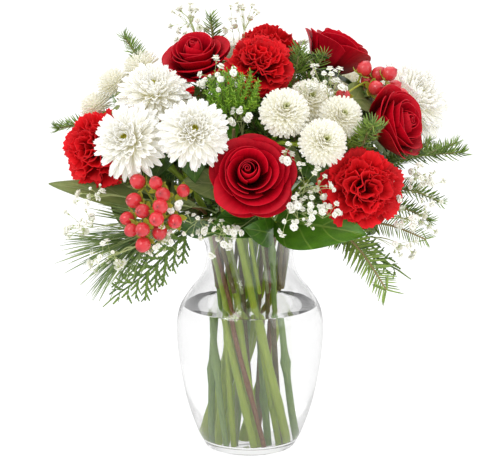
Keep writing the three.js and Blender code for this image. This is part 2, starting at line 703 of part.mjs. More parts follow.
/** A conifer twig on its stem, bowed between root and tip, with its side shoots. */
function firTwig(twig, extra) {
  const root = vec(twig.root);
  const tip = vec(twig.tip);
  const along = tip.clone().sub(root);
  const bow = UP.clone().multiplyScalar(along.length() * 0.08);
  const middle = midpoint(root, tip).add(bow);
  const start = middle.clone().sub(root).normalize();
  const green = spaced([root, middle, tip], NEEDLE_SPACING);
  const bare = stemLine(twig, root, start, 3);
  const parts = [needledShoot(bare, green, STEM_RADIUS.twig, twig.needle, twig.flat, extra)];
  const ahead = along.clone().normalize();
  const side = UP.clone().cross(along).normalize();
  for (let i = 0; i < twig.shoots; i++) {
    const from = green[Math.round(green.length * mix(0.2, 0.45, i))];
    const out = ahead.clone().multiplyScalar(0.9).addScaledVector(side, i % 2 ? 1 : -1).normalize();
    const line = [8, 14, 20, 26, 32, 38].map((d) => from.clone().addScaledVector(out, d));
    parts.push(needledShoot([from], line, 1.2, twig.needle * 0.8, true, extra));
  }
  return fuse(parts);
}

/** A pine twig: long soft needles in a brush round the tip. */
function pineTwig(twig, extra, seed) {
  const rng = draws(seed);
  const root = vec(twig.root);
  const tip = vec(twig.tip);
  const along = tip.clone().sub(root).normalize();
  const bare = stemLine(twig, root, along, 3);
  const green = spaced([root, tip], PINE_SPACING);
  const line = [...bare, ...green];
  const radii = shootRadii(bare, green, STEM_RADIUS.twig, 1.6, 1.6);
  return skin(ringsAlong(line, radii, TWIG_SIDES, extra), (ring, side, corners) => {
    if (ring < bare.length) return null;
    const foot = midpoint(corners[0], corners[2]);
    const out = foot.clone().sub(midpoint(line[ring], line[ring + 1])).normalize();
    const sweep = vec(twig.fan).addScaledVector(out, 0.55).addScaledVector(along, 0.2).normalize();
    return needleTip(foot.clone().addScaledVector(sweep, twig.needle * mix(0.75, 1, rng())), corners, extra);
  });
}

/** A cedar frond: a flat spray of branchlets, each a line of short scaly twiglets. */
function cedarFrond(frond, extra) {
  const root = vec(frond.root);
  const tip = vec(frond.tip);
  const along = tip.clone().sub(root).normalize();
  const plane = along.clone().cross(vec(frond.flatTo)).normalize();
  const comb = (bare, green, radius, length) => {
    const line = [...bare, ...green];
    const radii = shootRadii(bare, green, radius, 1.5, 0.9);
    return skin(ringsAlong(line, radii, TWIG_SIDES, extra), (ring, side, corners) => {
      if (ring < bare.length) return null;
      const foot = midpoint(corners[0], corners[2]);
      const out = foot.clone().sub(midpoint(line[ring], line[ring + 1])).normalize();
      const hand = out.dot(plane);
      if (Math.abs(hand) < 0.5) return null;
      const forward = line[ring + 1].clone().sub(line[ring]).normalize();
      const lean = forward.multiplyScalar(0.8).addScaledVector(plane, Math.sign(hand) * 0.6).normalize();
      return needleTip(foot.clone().addScaledVector(lean, length), corners, extra);
    });
  };
  const bareTo = 0.55; // the side branchlets leave the lower part, and the tip has twiglets of its own
  const fork = root.clone().lerp(tip, bareTo);
  const bare = [...stemLine(frond, root, along, 3), fork];
  const parts = [comb(bare, spaced([fork, tip], CEDAR_SPACING), 1.7, frond.reach * 0.5)];
  for (let i = 0; i < CEDAR_BRANCHLETS; i++) {
    const hand = i % 2 ? 1 : -1;
    const from = root.clone().lerp(fork, (i + 0.5) / CEDAR_BRANCHLETS);
    const out = along.clone().multiplyScalar(0.72).addScaledVector(plane, hand * 0.7).normalize();
    const line = [0.3, 0.55, 0.8, 1].map((t) => from.clone().addScaledVector(out, t * frond.reach));
    parts.push(comb([from], line, 1.4, frond.reach * 0.34));
  }
  return fuse(parts);
}

/** A broad leaf: folded along its rib, waved along its edges and arched from foot to tip. */
function broadLeaf({ foot, tip, half, arch = 0.08 }, extra) {
  const thick = LEAF_THICK + 2 * extra;
  const from = foot.clone();
  const along = vec(tip).sub(from);
  along.setLength(along.length() + extra);
  const across = along.clone().cross(UP).normalize();
  const up = across.clone().cross(along).normalize();
  const outline = [[0.2, 0.76], [0.45, 1], [0.7, 0.78], [0.9, 0.36], [1, 0.06]];
  const rows = outline.map(([t, width], k) => {
    const bow = along.length() * arch * Math.sin(Math.PI * t);
    const rib = from.clone().addScaledVector(along, t).addScaledVector(up, bow);
    const wave = (k % 2 ? 1 : -1) * 0.06;
    return [-1, 0, 1].map((s) =>
      rib
        .clone()
        .addScaledVector(across, -s * (width * half + extra))
        .addScaledVector(up, Math.abs(s) * half * (0.2 * width + wave)),
    );
  });
  const base = [[-1, -1], [1, -1], [1, 1], [-1, 1]].map(([s, h]) =>
    from.clone().addScaledVector(across, -s * half * 0.09).addScaledVector(up, h * thick * 0.8),
  );
  const points = [...base];
  const triangles = [[0, 2, 1], [0, 3, 2]];
  raisePetal([0, 1, 2, 3], { rows, thick }, points, triangles);
  return polyhedron(points, triangles);
}

/** A leafy branch: its stem, a leaf at its end, and one more leaf from further back. */
function leafBranch(branch, extra) {
  const root = vec(branch.root);
  const line = stemLine(branch, root, vec(branch.leaves[0].tip).sub(root).normalize(), 3);
  const leaves = branch.leaves.map((leaf, i) => broadLeaf({ ...leaf, foot: line.at(-1 - i) }, extra));
  return fuse([stalk(line, STEM_RADIUS.leaf, 1.6, STEM_SIDES, extra), ...leaves]);
}

// ---------------------------------------------------------------- materials

/** The colour and roughness of a finish; each mesh makes its own material from them. */
const finish = (color, roughness, more = {}) => ({ color, roughness, metalness: 0, ...more });
const FINISHES = {
  glass: finish(0xeef4f2, 0.05, { transparent: true, opacity: 0.3 }),
  water: finish(0xe4efe9, 0.02, { transparent: true, opacity: 0.35 }),
  rose: finish(0xa80a1e, 0.55),
  carnation: finish(0xd01222, 0.6),
  daisy: finish(0xf6f5ea, 0.6),
  button: finish(0xf1efd8, 0.65),
  stem: finish(0x7f9e4a, 0.5),
  blueStem: finish(0x71946a, 0.55),
  berry: finish(0xc8303a, 0.35),
  breath: finish(0xeceee0, 0.7),
  fir: finish(0x3f5f30, 0.55),
  pine: finish(0x6d8a5a, 0.5),
  cedar: finish(0x55752a, 0.55),
  leaf: finish(0x2f5a14, 0.4),
};

// ---------------------------------------------------------------- the bouquet

const pieces = []; // in the order of who gives way: a later piece is cut clear of the earlier ones

/** Adds a piece with its finish, its body and the room that it needs; both may be geometries. */
function addPiece(name, look, body, around) {
  const [solid, room] = [body, around].map((b) => (b instanceof THREE.BufferGeometry ? solidOf(b) : b));
  pieces.push({ name, look, solid, room });
}

function addHeads() {
  for (const rose of ROSES) {
    const head = placed(roseHead(rose.reach), rose.at, rose.face, rose.reach);
    addPiece(rose.name, FINISHES.rose, head, roomRound(head));
  }
  CARNATIONS.forEach((carnation, i) => {
    const head = placed(carnationHead(carnation.reach, i + 1), carnation.at, carnation.face, i);
    addPiece(carnation.name, FINISHES.carnation, head, roomRound(head));
  });
  DAISIES.forEach((daisy, i) => {
    const head = placed(daisyHead(daisy.reach, i + 11), daisy.at, daisy.face, i);
    addPiece(daisy.name, FINISHES.daisy, head, roomRound(head));
  });
  for (const { name, heads, face } of BUTTONS) {
    const petals = heads.length > 1 ? 44 : 52;
    const bodies = heads.map((h) => placed(buttonHead(h.reach, petals), h.at, face));
    addPiece(name, FINISHES.button, fuse(bodies), fuse(bodies.map(roomRound)));
  }
}

/** Everything with a stem: its heads, the place that its stem makes for, and the stem's radius. */
function stemmedThings() {
  const headsOf = (name) => {
    const cluster = BUTTONS.find((b) => b.name === name);
    if (!cluster) return DAISIES.filter((d) => d.name === name);
    return cluster.heads.map((h) => ({ ...h, face: cluster.face }));
  };
  const give = (list, thick, goal) => list.map((m) => Object.assign(m, { thick, goal: goal(m) }));
  for (const fork of [...DAISY_STEMS, ...BUTTON_STEMS]) fork.heads = fork.heads.flatMap(headsOf);
  return [
    ...give(ROSES, STEM_RADIUS.rose, (m) => m.at),
    ...give(CARNATIONS, STEM_RADIUS.carnation, (m) => m.at),
    ...give(DAISY_STEMS, STEM_RADIUS.daisy, (m) => m.heads[0].at),
    ...give(BUTTON_STEMS, STEM_RADIUS.button, (m) => m.heads[0].at),
    ...give(BERRY_SPRAYS, STEM_RADIUS.berries, (m) => m.root),
    ...give(BREATH_SPRAYS, STEM_RADIUS.breath, (m) => m.root),
    ...give([...FIR_TWIGS, ...PINE_TWIGS, ...CEDAR_FRONDS], STEM_RADIUS.twig, (m) => m.root),
    ...give(LEAF_BRANCHES, STEM_RADIUS.leaf, (m) => m.root),
  ];
}

/** Adds every stem, spray, twig and leafy branch, in the order of who gives way to whom. */
function addStems() {
  const add = (list, look, make, suffix = "") =>
    list.forEach((m, i) => addPiece(m.name + suffix, look, make(m, 0, i), make(m, GAP, i)));
  add(ROSES, FINISHES.stem, roseStem, "_stem");
  add(CARNATIONS, FINISHES.blueStem, carnationStem, "_stem");
  add(DAISY_STEMS, FINISHES.stem, (m, extra) => forkedStem(m, STEM_RADIUS.daisy, HEAD_DEPTH.daisy, extra));
  add(BUTTON_STEMS, FINISHES.stem, (m, extra) => forkedStem(m, STEM_RADIUS.button, HEAD_DEPTH.button, extra));
  add(LEAF_BRANCHES, FINISHES.leaf, leafBranch);
  add(BERRY_SPRAYS, FINISHES.berry, (m, extra, i) => berrySpray(m, extra, i + 21));
  add(FIR_TWIGS, FINISHES.fir, firTwig);
  add(CEDAR_FRONDS, FINISHES.cedar, cedarFrond);
  add(PINE_TWIGS, FINISHES.pine, (m, extra, i) => pineTwig(m, extra, i + 51));
  add(BREATH_SPRAYS, FINISHES.breath, (m, extra, i) => breathSpray(m, extra, i + 61));
}

const boxesMeet = (a, b) => [0, 1, 2].every((i) => a.min[i] <= b.max[i] && b.min[i] <= a.max[i]);

/** Cuts each piece clear of the pieces before it, and keeps its main body. */
function clearPieces() {
  pieces.forEach((piece, i) => {
    for (const earlier of pieces.slice(0, i)) {
      if (!boxesMeet(piece.solid.boundingBox(), earlier.room.boundingBox())) continue;
      for (const taken of [earlier.room, earlier.solid]) {
        if (piece.solid.intersect(taken).volume() <= 0) continue;
        piece.solid = mainBody(piece.solid.subtract(taken).simplify(CLEAN_STEP));
      }
    }
    piece.solid = mainBody(piece.solid.simplify(CLEAN_END));
  });
}

addHeads();
const members = stemmedThings();
for (const ring of Object.keys(RINGS)) dealRing(members.filter((m) => m.ring === ring), RINGS[ring]);
addStems();
clearPieces();

const water = pieces.reduce((solid, piece) => solid.subtract(piece.room), solidOf(waterBody()));
addPiece("glass_vase", FINISHES.glass, vaseBody());
addPiece("water", FINISHES.water, mainBody(mainBody(water).simplify(CLEAN_END)));

const bouquet = new THREE.Group();
for (const { name, look, solid } of pieces) {
  const mesh = new THREE.Mesh(geometryOf(solid), new THREE.MeshStandardMaterial(look));
  mesh.name = name;
  bouquet.add(mesh);
}
export default bouquet;
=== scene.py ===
# %% [markdown]
# # A bouquet of carnations in a glass vase
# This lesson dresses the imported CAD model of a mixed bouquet. The CAD gives every head, stem, twig and leaf
# its place. Each of its nodes is replaced here by a finer piece in that place, or a few mm from it where the
# photograph shows it so: petals as thin curled sheets, needles, scales, berries and florets. All tables are in
# millimetres, as they are in the CAD.

# %% The frame, which stays as it is
import math
import random
import bpy
import numpy as np
from mathutils import Matrix, Vector


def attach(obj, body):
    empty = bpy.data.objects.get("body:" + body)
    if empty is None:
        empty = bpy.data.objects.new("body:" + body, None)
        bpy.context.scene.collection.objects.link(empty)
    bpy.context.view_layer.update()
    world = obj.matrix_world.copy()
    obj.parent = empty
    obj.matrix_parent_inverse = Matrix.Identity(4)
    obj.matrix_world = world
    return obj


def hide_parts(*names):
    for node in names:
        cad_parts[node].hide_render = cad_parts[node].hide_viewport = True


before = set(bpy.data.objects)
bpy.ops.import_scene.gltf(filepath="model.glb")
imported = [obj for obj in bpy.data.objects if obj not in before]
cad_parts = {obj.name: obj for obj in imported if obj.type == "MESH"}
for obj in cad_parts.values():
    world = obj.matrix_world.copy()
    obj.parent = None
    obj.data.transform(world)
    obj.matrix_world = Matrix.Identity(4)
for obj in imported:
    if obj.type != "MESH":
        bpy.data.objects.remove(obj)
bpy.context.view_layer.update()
MM = 0.001
TURN = 2 * math.pi
GOLDEN = TURN * 0.381966
UP = Vector((0, 0, 1))

# %% [markdown]
# ## Where everything is
# A florist deals the stems round the neck of the vase, so that they cross and turn like a spiral stair. The
# tables say where each head, spray and leaf is; the functions after them find each stem's way, by the same
# rule as the CAD, so that each finer piece lies on or near its own solid.

# %% The vase's outline and the rings of stems
VASE_OUTSIDE = [
    (38, 0), (42.5, 3), (49, 16), (58, 43), (64.5, 78), (66.9, 108),
    (64.5, 128), (56, 143), (45, 158), (40, 173), (40.2, 186), (47, 203),
]
VASE_WALL = 2.8
VASE_FLOOR = 6.5
VASE_SIDES = 20  # the sides of the CAD's vase, on whose flats the outer stems lean
WATER_LEVEL = 131
NECK_HEIGHT = 187
RIM_CLEAR = 207
TUCKED_HEIGHT = 148
FOOT_HEIGHT = VASE_FLOOR + 1.8
STEM_TWIST = math.radians(78)
LEAN_GAP = 0.3
# A ring's radius in the neck and on the floor; the outer ring leans on the glass.
RINGS = {"outer": (None, 31), "middle": (21.5, 22), "inner": (11, 12)}
print("vase outline points", len(VASE_OUTSIDE), "rings", list(RINGS))


# %% The heads: middle, facing direction, reach and ring
def table(keys, *lines):
    """A table's lines as dictionaries."""
    return [dict(zip(keys.split(), line)) for line in lines]


# How far a rose has opened, from 0 to 1, and how far its heart lies off its middle, as a share of its reach.
ROSES = table(
    "name at face reach ring opened drift",
    ("rose_front", (3, -119, 272), (0.02, -0.9, 0.42), 37, "outer", 1.0, (-0.15, 0.1)),
    ("rose_top_left", (-48, -16, 362), (-0.18, -0.45, 0.87), 33, "middle", 0.75, (0.0, 0.0)),
    ("rose_top_right", (78, 28, 361), (0.45, 0.18, 0.87), 36, "middle", 0.25, (0.0, 0.0)),
    ("rose_right", (129, -48, 305), (0.8, -0.5, 0.32), 37, "outer", 0.3, (0.0, 0.0)),
    ("rose_back", (38, 104, 298), (0.25, 0.88, 0.4), 34, "outer", 0.85, (0.05, 0.05)),
)
CARNATIONS = table(
    "name at face reach ring",
    ("carnation_front", (97, -108, 258), (0.25, -0.95, 0.15), 37, "outer"),
    ("carnation_top", (9, -48, 361), (0.08, -0.62, 0.78), 32, "inner"),
    ("carnation_crown", (18, 14, 371), (0.08, 0.3, 0.95), 29, "inner"),
    ("carnation_left", (-138, -51, 283), (-0.6, -0.77, 0.2), 36, "outer"),
    ("carnation_back", (-62, 96, 292), (-0.45, 0.82, 0.35), 34, "outer"),
)
DAISIES = table(
    "name at face reach",
    ("daisy_front_left", (-102, -95, 298), (-0.36, -0.86, 0.36), 34),
    ("daisy_front", (-47, -116, 309), (0.06, -0.92, 0.4), 32),
    ("daisy_upper_left", (-83, -52, 334), (0.0, -0.64, 0.77), 33),
    ("daisy_right", (147, 28, 316), (0.48, -0.58, 0.66), 41),
    ("daisy_back", (-20, 72, 345), (-0.1, 0.66, 0.74), 34),
)
BUTTONS = table(
    "name heads face",
    ("button_right_1", [((29, -97, 322), 22)], (0.1, -0.85, 0.5)),
    ("button_right_2", [((51, -57, 325), 21)], (0.15, -0.8, 0.58)),
    ("button_right_3", [((77, -78, 315), 20)], (0.25, -0.85, 0.46)),
    ("button_right_4", [((61, -112, 299), 21)], (0.2, -0.9, 0.4)),
    ("buttons_left", [((-96, -2, 348), 18), ((-121, -8, 334), 16), ((-137, -16, 315), 15)], (-0.6, 0.1, 0.8)),
    ("buttons_back", [((92, 92, 320), 21), ((66, 86, 336), 20)], (0.6, 0.5, 0.62)),
)


def button_heads(clusters):
    """The heads of some clusters, as a stem needs them."""
    return [dict(at=at, face=c["face"], reach=reach) for c in clusters for at, reach in c["heads"]]


DAISY_STEMS = table(
    "name heads ring",
    ("daisy_stem_left", DAISIES[:3], "outer"),
    ("daisy_stem_right", DAISIES[3:4], "outer"),
    ("daisy_stem_back", DAISIES[4:], "middle"),
)
BUTTON_STEMS = table(
    "name heads ring",
    ("button_stem_right", button_heads(BUTTONS[:4]), "middle"),
    ("button_stem_left", button_heads(BUTTONS[4:5]), "middle"),
    ("button_stem_back", button_heads(BUTTONS[5:]), "outer"),
)
print("blooms", len(ROSES) + len(CARNATIONS) + len(DAISIES))

# %% The sprays, twigs and leaves; a tucked one ends in the neck, above the water
BERRY_SPRAYS = table(
    "name root at ring",
    ("berries_left", (-58, -62, 238), (-84, -112, 240), "outer"),
    ("berries_right", (86, -12, 306), (108, -8, 340), "middle"),
)
BREATH_SPRAYS = table(
    "name root ring tucked clouds",
    ("breath_left", (-46, -60, 214), "outer", True, [(-120, -118, 202), (-144, -104, 224), (-76, -120, 214)]),
    ("breath_middle", (34, -62, 240), "outer", True, [(54, -118, 262), (-26, -100, 214), (40, -126, 236)]),
    ("breath_right", (70, -36, 236), "outer", True, [(142, -86, 226), (150, -66, 250), (66, -62, 342)]),
    ("breath_top", (-24, 16, 318), "inner", False, [(-54, 20, 388), (-8, -4, 392), (-24, -78, 352)]),
)
FIR_TWIGS = table(
    "name root tip needle shoots combed ring tucked",
    ("fir_right", (80, -6, 240), (193, -40, 279), 15, 1, False, "outer", True),
    ("fir_lower_right", (72, -54, 218), (122, -92, 160), 20, 1, True, "outer", True),
    ("fir_side", (84, -50, 218), (158, -78, 206), 13, 0, True, "outer", True),
    ("fir_middle", (92, -70, 276), (104, -112, 316), 15, 0, False, "middle", False),
    ("fir_top", (36, -18, 318), (44, -30, 372), 14, 0, False, "inner", False),
    ("fir_left", (-96, 24, 286), (-178, 2, 292), 13, 0, False, "outer", True),
    ("fir_back", (-8, 72, 238), (-20, 156, 264), 15, 1, False, "outer", True),
)
PINE_TWIGS = table(
    "name root tip needle fan ring tucked",
    ("pine_left", (-60, -46, 220), (-104, -82, 206), 72, (-0.8, -0.4, -0.2), "outer", True),
)
CEDAR_FRONDS = table(
    "name root tip reach flat_to ring tucked",
    ("cedar_left", (-52, -66, 216), (-120, -106, 161), 34, (0.3, 1, 0.3), "outer", True),
    ("cedar_right", (74, -36, 214), (134, -70, 176), 26, (-0.2, 1, 0.4), "outer", True),
    ("cedar_middle", (-14, -72, 304), (-14, -92, 356), 26, (0, 1, 0), "inner", False),
)
# Each leaf: its tip, half its width, how far it arches, and the way that it faces.
LEAF_BRANCHES = table(
    "name root ring tucked leaves",
    ("leaves_front", (20, -58, 220), "outer", True,
     [((98, -122, 222), 26, 0.08, (0.1, -0.92, 0.38)), ((-38, -98, 220), 15, 0.08, (0.0, -0.9, 0.4))]),
    ("leaves_left", (-62, -38, 228), "outer", True,
     [((-175, -58, 254), 15, 0.02, (0.1, -0.8, 0.6)), ((-104, -92, 258), 15, 0.08, (-0.1, -0.8, 0.6))]),
    ("leaves_back", (18, 62, 222), "outer", True,
     [((98, 108, 224), 24, 0.08, (0.2, 0.75, 0.65)), ((-66, 112, 218), 22, 0.08, (-0.2, 0.75, 0.65))]),
)


# %% Dealing the stems, and the way of each one
def inside_radius(height):
    """The vase's inner radius at a height."""
    above = next(i for i, (_, z) in enumerate(VASE_OUTSIDE) if z >= height)
    (r0, z0), (r1, z1) = VASE_OUTSIDE[above - 1], VASE_OUTSIDE[above]
    return r0 + (r1 - r0) * (height - z0) / (z1 - z0) - VASE_WALL


def polar(radius, angle, height=0.0):
    return Vector((radius * math.cos(angle), radius * math.sin(angle), height))


def deal_ring(members, neck, foot):
    """Deals one ring's stems evenly round the neck, in the order of the bearings that they make for."""
    order = sorted(members, key=lambda m: math.atan2(m["goal"][1], m["goal"][0]))
    step = TURN / len(order)
    bearings = [math.atan2(m["goal"][1], m["goal"][0]) for m in order]
    shift = sum(b - i * step for i, b in enumerate(bearings)) / len(order)
    on_glass = (inside_radius(NECK_HEIGHT) - LEAN_GAP) * math.cos(math.pi / VASE_SIDES)
    for i, m in enumerate(order):
        angle = shift + i * step
        m["neck"] = polar(neck or on_glass - m["thick"], angle, NECK_HEIGHT)
        floor = polar(foot, angle + STEM_TWIST, FOOT_HEIGHT)
        m["rise"] = (m["neck"] - floor).normalized()
        share = (TUCKED_HEIGHT - FOOT_HEIGHT) / (NECK_HEIGHT - FOOT_HEIGHT)
        m["foot"] = floor.lerp(m["neck"], share) if m.get("tucked") else floor


def bezier(a, b, c, d, t):
    return a * (1 - t) ** 3 + b * 3 * t * (1 - t) ** 2 + c * 3 * t * t * (1 - t) + d * t ** 3


def stem_line(m, end, end_direction, steps=10, straight=8):
    """A stem's line: straight from its foot past the rim, then one smooth bend to its end."""
    rim = m["neck"] + m["rise"] * ((RIM_CLEAR - NECK_HEIGHT) / m["rise"].z)
    reach = (end - rim).length * 0.4
    bend = (rim, rim + m["rise"] * reach * 0.6, end - end_direction * reach, end)
    below = [m["foot"].lerp(rim, i / straight) for i in range(straight)]
    return below + [bezier(*bend, i / steps) for i in range(steps + 1)]


STEMMED = []
# Each kind of stem: its radius, and the point that it makes for.
for group, thick, goal in [
    (ROSES, 3.6, lambda m: m["at"]), (CARNATIONS, 2.7, lambda m: m["at"]),
    (DAISY_STEMS, 3.2, lambda m: m["heads"][0]["at"]), (BUTTON_STEMS, 2.4, lambda m: m["heads"][0]["at"]),
    (BERRY_SPRAYS, 2.0, lambda m: m["root"]), (BREATH_SPRAYS, 1.4, lambda m: m["root"]),
    (FIR_TWIGS + PINE_TWIGS + CEDAR_FRONDS, 2.0, lambda m: m["root"]), (LEAF_BRANCHES, 1.8, lambda m: m["root"]),
]:
    for m in group:
        m.update(thick=thick, goal=goal(m))
    STEMMED += group
for ring, (neck, foot) in RINGS.items():
    deal_ring([m for m in STEMMED if m["ring"] == ring], neck, foot)
print("stems dealt", len(STEMMED))

# %% [markdown]
# ## Tools for petals, stalks and heaps of copies
# A petal is a grid that a formula bends, given its thickness by a modifier: the curl of a petal has no operator
# of its own. A stalk is rings along a line. What repeats is modelled once as a form, and a heap lays many
# turned copies of forms into one mesh, with a tone for each copy, so that no two petals have quite one colour.


# %% Forms: a mesh's points, faces and UV as arrays
class Form:
    def __init__(self, points, corners, sizes, uv):
        self.points, self.corners, self.sizes, self.uv = points, corners, sizes, uv


def form_of(maker):
    """Takes a modelled object's mesh as a form, and clears the object away."""
    mesh = maker.data
    points = np.empty(len(mesh.vertices) * 3)
    corners = np.empty(len(mesh.loops), dtype=np.int64)
    sizes = np.empty(len(mesh.polygons), dtype=np.int64)
    uv = np.zeros(len(mesh.loops) * 2)
    mesh.vertices.foreach_get("co", points)
    mesh.loops.foreach_get("vertex_index", corners)
    mesh.polygons.foreach_get("loop_total", sizes)
    if mesh.uv_layers:
        mesh.uv_layers.active.data.foreach_get("uv", uv)
    bpy.data.objects.remove(maker)
    bpy.data.meshes.remove(mesh)
    return Form(points.reshape(-1, 3), corners, sizes, uv.reshape(-1, 2))


# %% Sheets and tubes
def only(piece):
    """Leaves one object selected and active."""
    bpy.ops.object.select_all(action="DESELECT")
    piece.select_set(True)
    bpy.context.view_layer.objects.active = piece


def bent_sheet(across, along, place, thick):
    """A petal or leaf: place(s, t) gives a point, s from -1 to 1 across and t from 0 to 1 along."""
    bpy.ops.object.select_all(action="DESELECT")
    bpy.ops.mesh.primitive_grid_add(x_subdivisions=across, y_subdivisions=along, size=2)
    maker = bpy.context.object
    for point in maker.data.vertices:
        point.co = place(point.co.x, (point.co.y + 1) / 2)
    wall = maker.modifiers.new("wall", "SOLIDIFY")
    wall.thickness = thick
    wall.offset = 0
    bpy.ops.object.modifier_apply(modifier="wall")
    return form_of(maker)


def tube(line, radii, sides=8):
    """A stalk along a line, closed at both ends; its UV is in millimetres round and along."""
    line = [Vector(p) for p in line]
    last = len(line) - 1
    side = None
    points, at = [], 0.0
    lengths = [0.0]
    for i, p in enumerate(line):
        direction = (line[min(i + 1, last)] - line[max(i - 1, 0)]).normalized()
        if side is None:
            side = direction.orthogonal()
        side = (side - direction * side.dot(direction)).normalized()
        other = direction.cross(side)
        if i:
            at += (p - line[i - 1]).length
            lengths.append(at)
        for k in range(sides):
            angle = k / sides * TURN
            points.append(p + (side * math.cos(angle) + other * math.sin(angle)) * radii[i])
    corners, sizes, uv = [], [], []
    for i in range(last):
        for k in range(sides):
            n = (k + 1) % sides
            corners += [i * sides + k, i * sides + n, (i + 1) * sides + n, (i + 1) * sides + k]
            sizes.append(4)
            left, right = k * TURN * radii[i] / sides, (k + 1) * TURN * radii[i] / sides
            uv += [(left, lengths[i]), (right, lengths[i]), (right, lengths[i + 1]), (left, lengths[i + 1])]
    corners += list(range(sides - 1, -1, -1)) + list(range(last * sides, (last + 1) * sides))
    sizes += [sides, sides]
    uv += [(0.0, 0.0)] * sides + [(0.0, at)] * sides
    return Form(np.array(points), np.array(corners), np.array(sizes), np.array(uv))


def smooth_line(points, count):
    """Points along a smooth curve through a few points."""
    points = [Vector(p) for p in points]
    padded = [points[0] * 2 - points[1]] + points + [points[-1] * 2 - points[-2]]
    made = []
    for i in range(count + 1):
        where = i / count * (len(points) - 1)
        k = min(int(where), len(points) - 2)
        t = where - k
        a, b, c, d = padded[k:k + 4]
        bent = (2 * a - 5 * b + 4 * c - d) * t * t
        made.append(0.5 * (2 * b + (c - a) * t + bent + (3 * b - a - 3 * c + d) * t ** 3))
    return made


# %% Places for copies
def turned_to(at, direction, face=UP, size=1.0):
    """A place for a form that grows along its own +Y and shows its +Z: +Y goes to direction, +Z near face."""
    y = Vector(direction).normalized()
    x = y.cross(Vector(face))
    if x.length < 1e-6:
        x = y.orthogonal()
    x.normalize()
    z = x.cross(y)
    turn = Matrix((x, y, z)).transposed().to_4x4()
    return Matrix.Translation(Vector(at)) @ turn @ Matrix.Scale(size, 4)


def round_axis(axis, angle):
    """A direction square to an axis, turned round it by an angle in radians."""
    out = axis.orthogonal()
    out.rotate(Matrix.Rotation(angle, 3, axis))
    return out


def head_place(at, face, roll=0.0):
    """A place for a head that is modelled facing +Z with its middle at 0."""
    turn = UP.rotation_difference(Vector(face).normalized()).to_matrix().to_4x4()
    return Matrix.Translation(Vector(at)) @ turn @ Matrix.Rotation(roll, 4, "Z")


# %% Heaps
class Heap:
    """Copies of forms that become one piece."""

    def __init__(self):
        self.points, self.corners, self.sizes, self.uv, self.tones, self.finishes = [], [], [], [], [], []
        self.count = 0

    def lay(self, form, place=None, tone=0.5, finish=0):
        points = form.points
        if place is not None:
            matrix = np.array(place)
            points = points @ matrix[:3, :3].T + matrix[:3, 3]
        self.points.append(points)
        self.corners.append(form.corners + self.count)
        self.sizes.append(form.sizes)
        self.uv.append(form.uv)
        self.tones.append(np.full(len(points), tone))
        self.finishes.append(np.full(len(form.sizes), finish))
        self.count += len(points)

    def stalk(self, line, radii, sides, tone=0.5, finish=0, place=None):
        """Lays a tube that is used once."""
        self.lay(tube(line, radii, sides), place, tone, finish)

    def piece(self, name, finishes, slot, node=None, crease=50):
        """Makes the heap one smooth object at the origin, which rides on the CAD and may replace a node."""
        mesh = bpy.data.meshes.new(name)
        points, corners, sizes = (np.concatenate(part) for part in (self.points, self.corners, self.sizes))
        mesh.vertices.add(len(points))
        mesh.vertices.foreach_set("co", (points * MM).ravel())
        mesh.loops.add(len(corners))
        mesh.loops.foreach_set("vertex_index", corners)
        mesh.polygons.add(len(sizes))
        mesh.polygons.foreach_set("loop_start", np.concatenate(([0], np.cumsum(sizes)[:-1])))
        mesh.polygons.foreach_set("material_index", np.concatenate(self.finishes))
        mesh.update(calc_edges=True)
        mesh.uv_layers.new(name="flow").data.foreach_set("uv", np.concatenate(self.uv).ravel())
        mesh.attributes.new("tone", "FLOAT", "POINT").data.foreach_set("value", np.concatenate(self.tones))
        mesh.validate()
        piece = bpy.data.objects.new(name, mesh)
        bpy.context.collection.objects.link(piece)
        for finish in finishes:
            mesh.materials.append(finish)
        only(piece)
        bpy.ops.object.shade_smooth_by_angle(angle=math.radians(crease))
        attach(piece, "root")
        if node:
            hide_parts(node)
        print(name, "faces", len(sizes))


def lay_all(members, first_seed, lay, ending, finishes, slot, crease=50, node_ending=""):
    """Lays each member of a table as one piece, with its own seed; a stem's node adds an ending to its name."""
    for seed, m in enumerate(members, first_seed):
        m["seed"] = seed
        heap = Heap()
        lay(heap, m, random.Random(seed))
        heap.piece(m["name"] + ending, finishes, slot, m["name"] + node_ending, crease)


# %% [markdown]
# ## Finishes
# Each finish starts from what the real surface is; some petals also carry painted shade, a painted highlight or a
# faint painted glow, said at each. The petals' colours follow the petal's own UV, from its claw (0) to its edge (1),
# and its veins run along it; a tone that each copy carries shifts its colour a little.


# %% Colours, nodes and materials
def linear(hex_colour):
    """An sRGB hex colour as linear numbers."""
    channels = [int(hex_colour[i:i + 2], 16) / 255 for i in (1, 3, 5)]
    return tuple(c / 12.92 if c <= 0.04045 else ((c + 0.055) / 1.055) ** 2.4 for c in channels) + (1.0,)


def add(tree, kind, inputs=(), stops=(), out=0, **settings):
    """Adds a node with its settings, its inputs in order or by name, and a ramp's stops; gives one output."""
    made = tree.nodes.new("ShaderNode" + kind)
    for i, (place, colour) in enumerate(stops):
        elements = made.color_ramp.elements
        element = elements[i] if i < 2 else elements.new(place)
        element.position = place
        element.color = linear(colour)
    for key, value in settings.items():
        setattr(made, key, value)
    for socket, value in inputs.items() if isinstance(inputs, dict) else enumerate(inputs):
        if isinstance(value, bpy.types.NodeSocket):
            tree.links.new(value, made.inputs[socket])
        else:
            made.inputs[socket].default_value = value
    return made.outputs[out]


def material(name, **sockets):
    """A material with one shader, whose plain numbers and colours are set on its own sockets."""
    made = bpy.data.materials.new(name)
    made.use_nodes = True
    tree = made.node_tree
    shader = tree.nodes["Principled BSDF"]
    for socket, value in sockets.items():
        shader.inputs[socket.replace("_", " ")].default_value = value
    return made, tree, shader


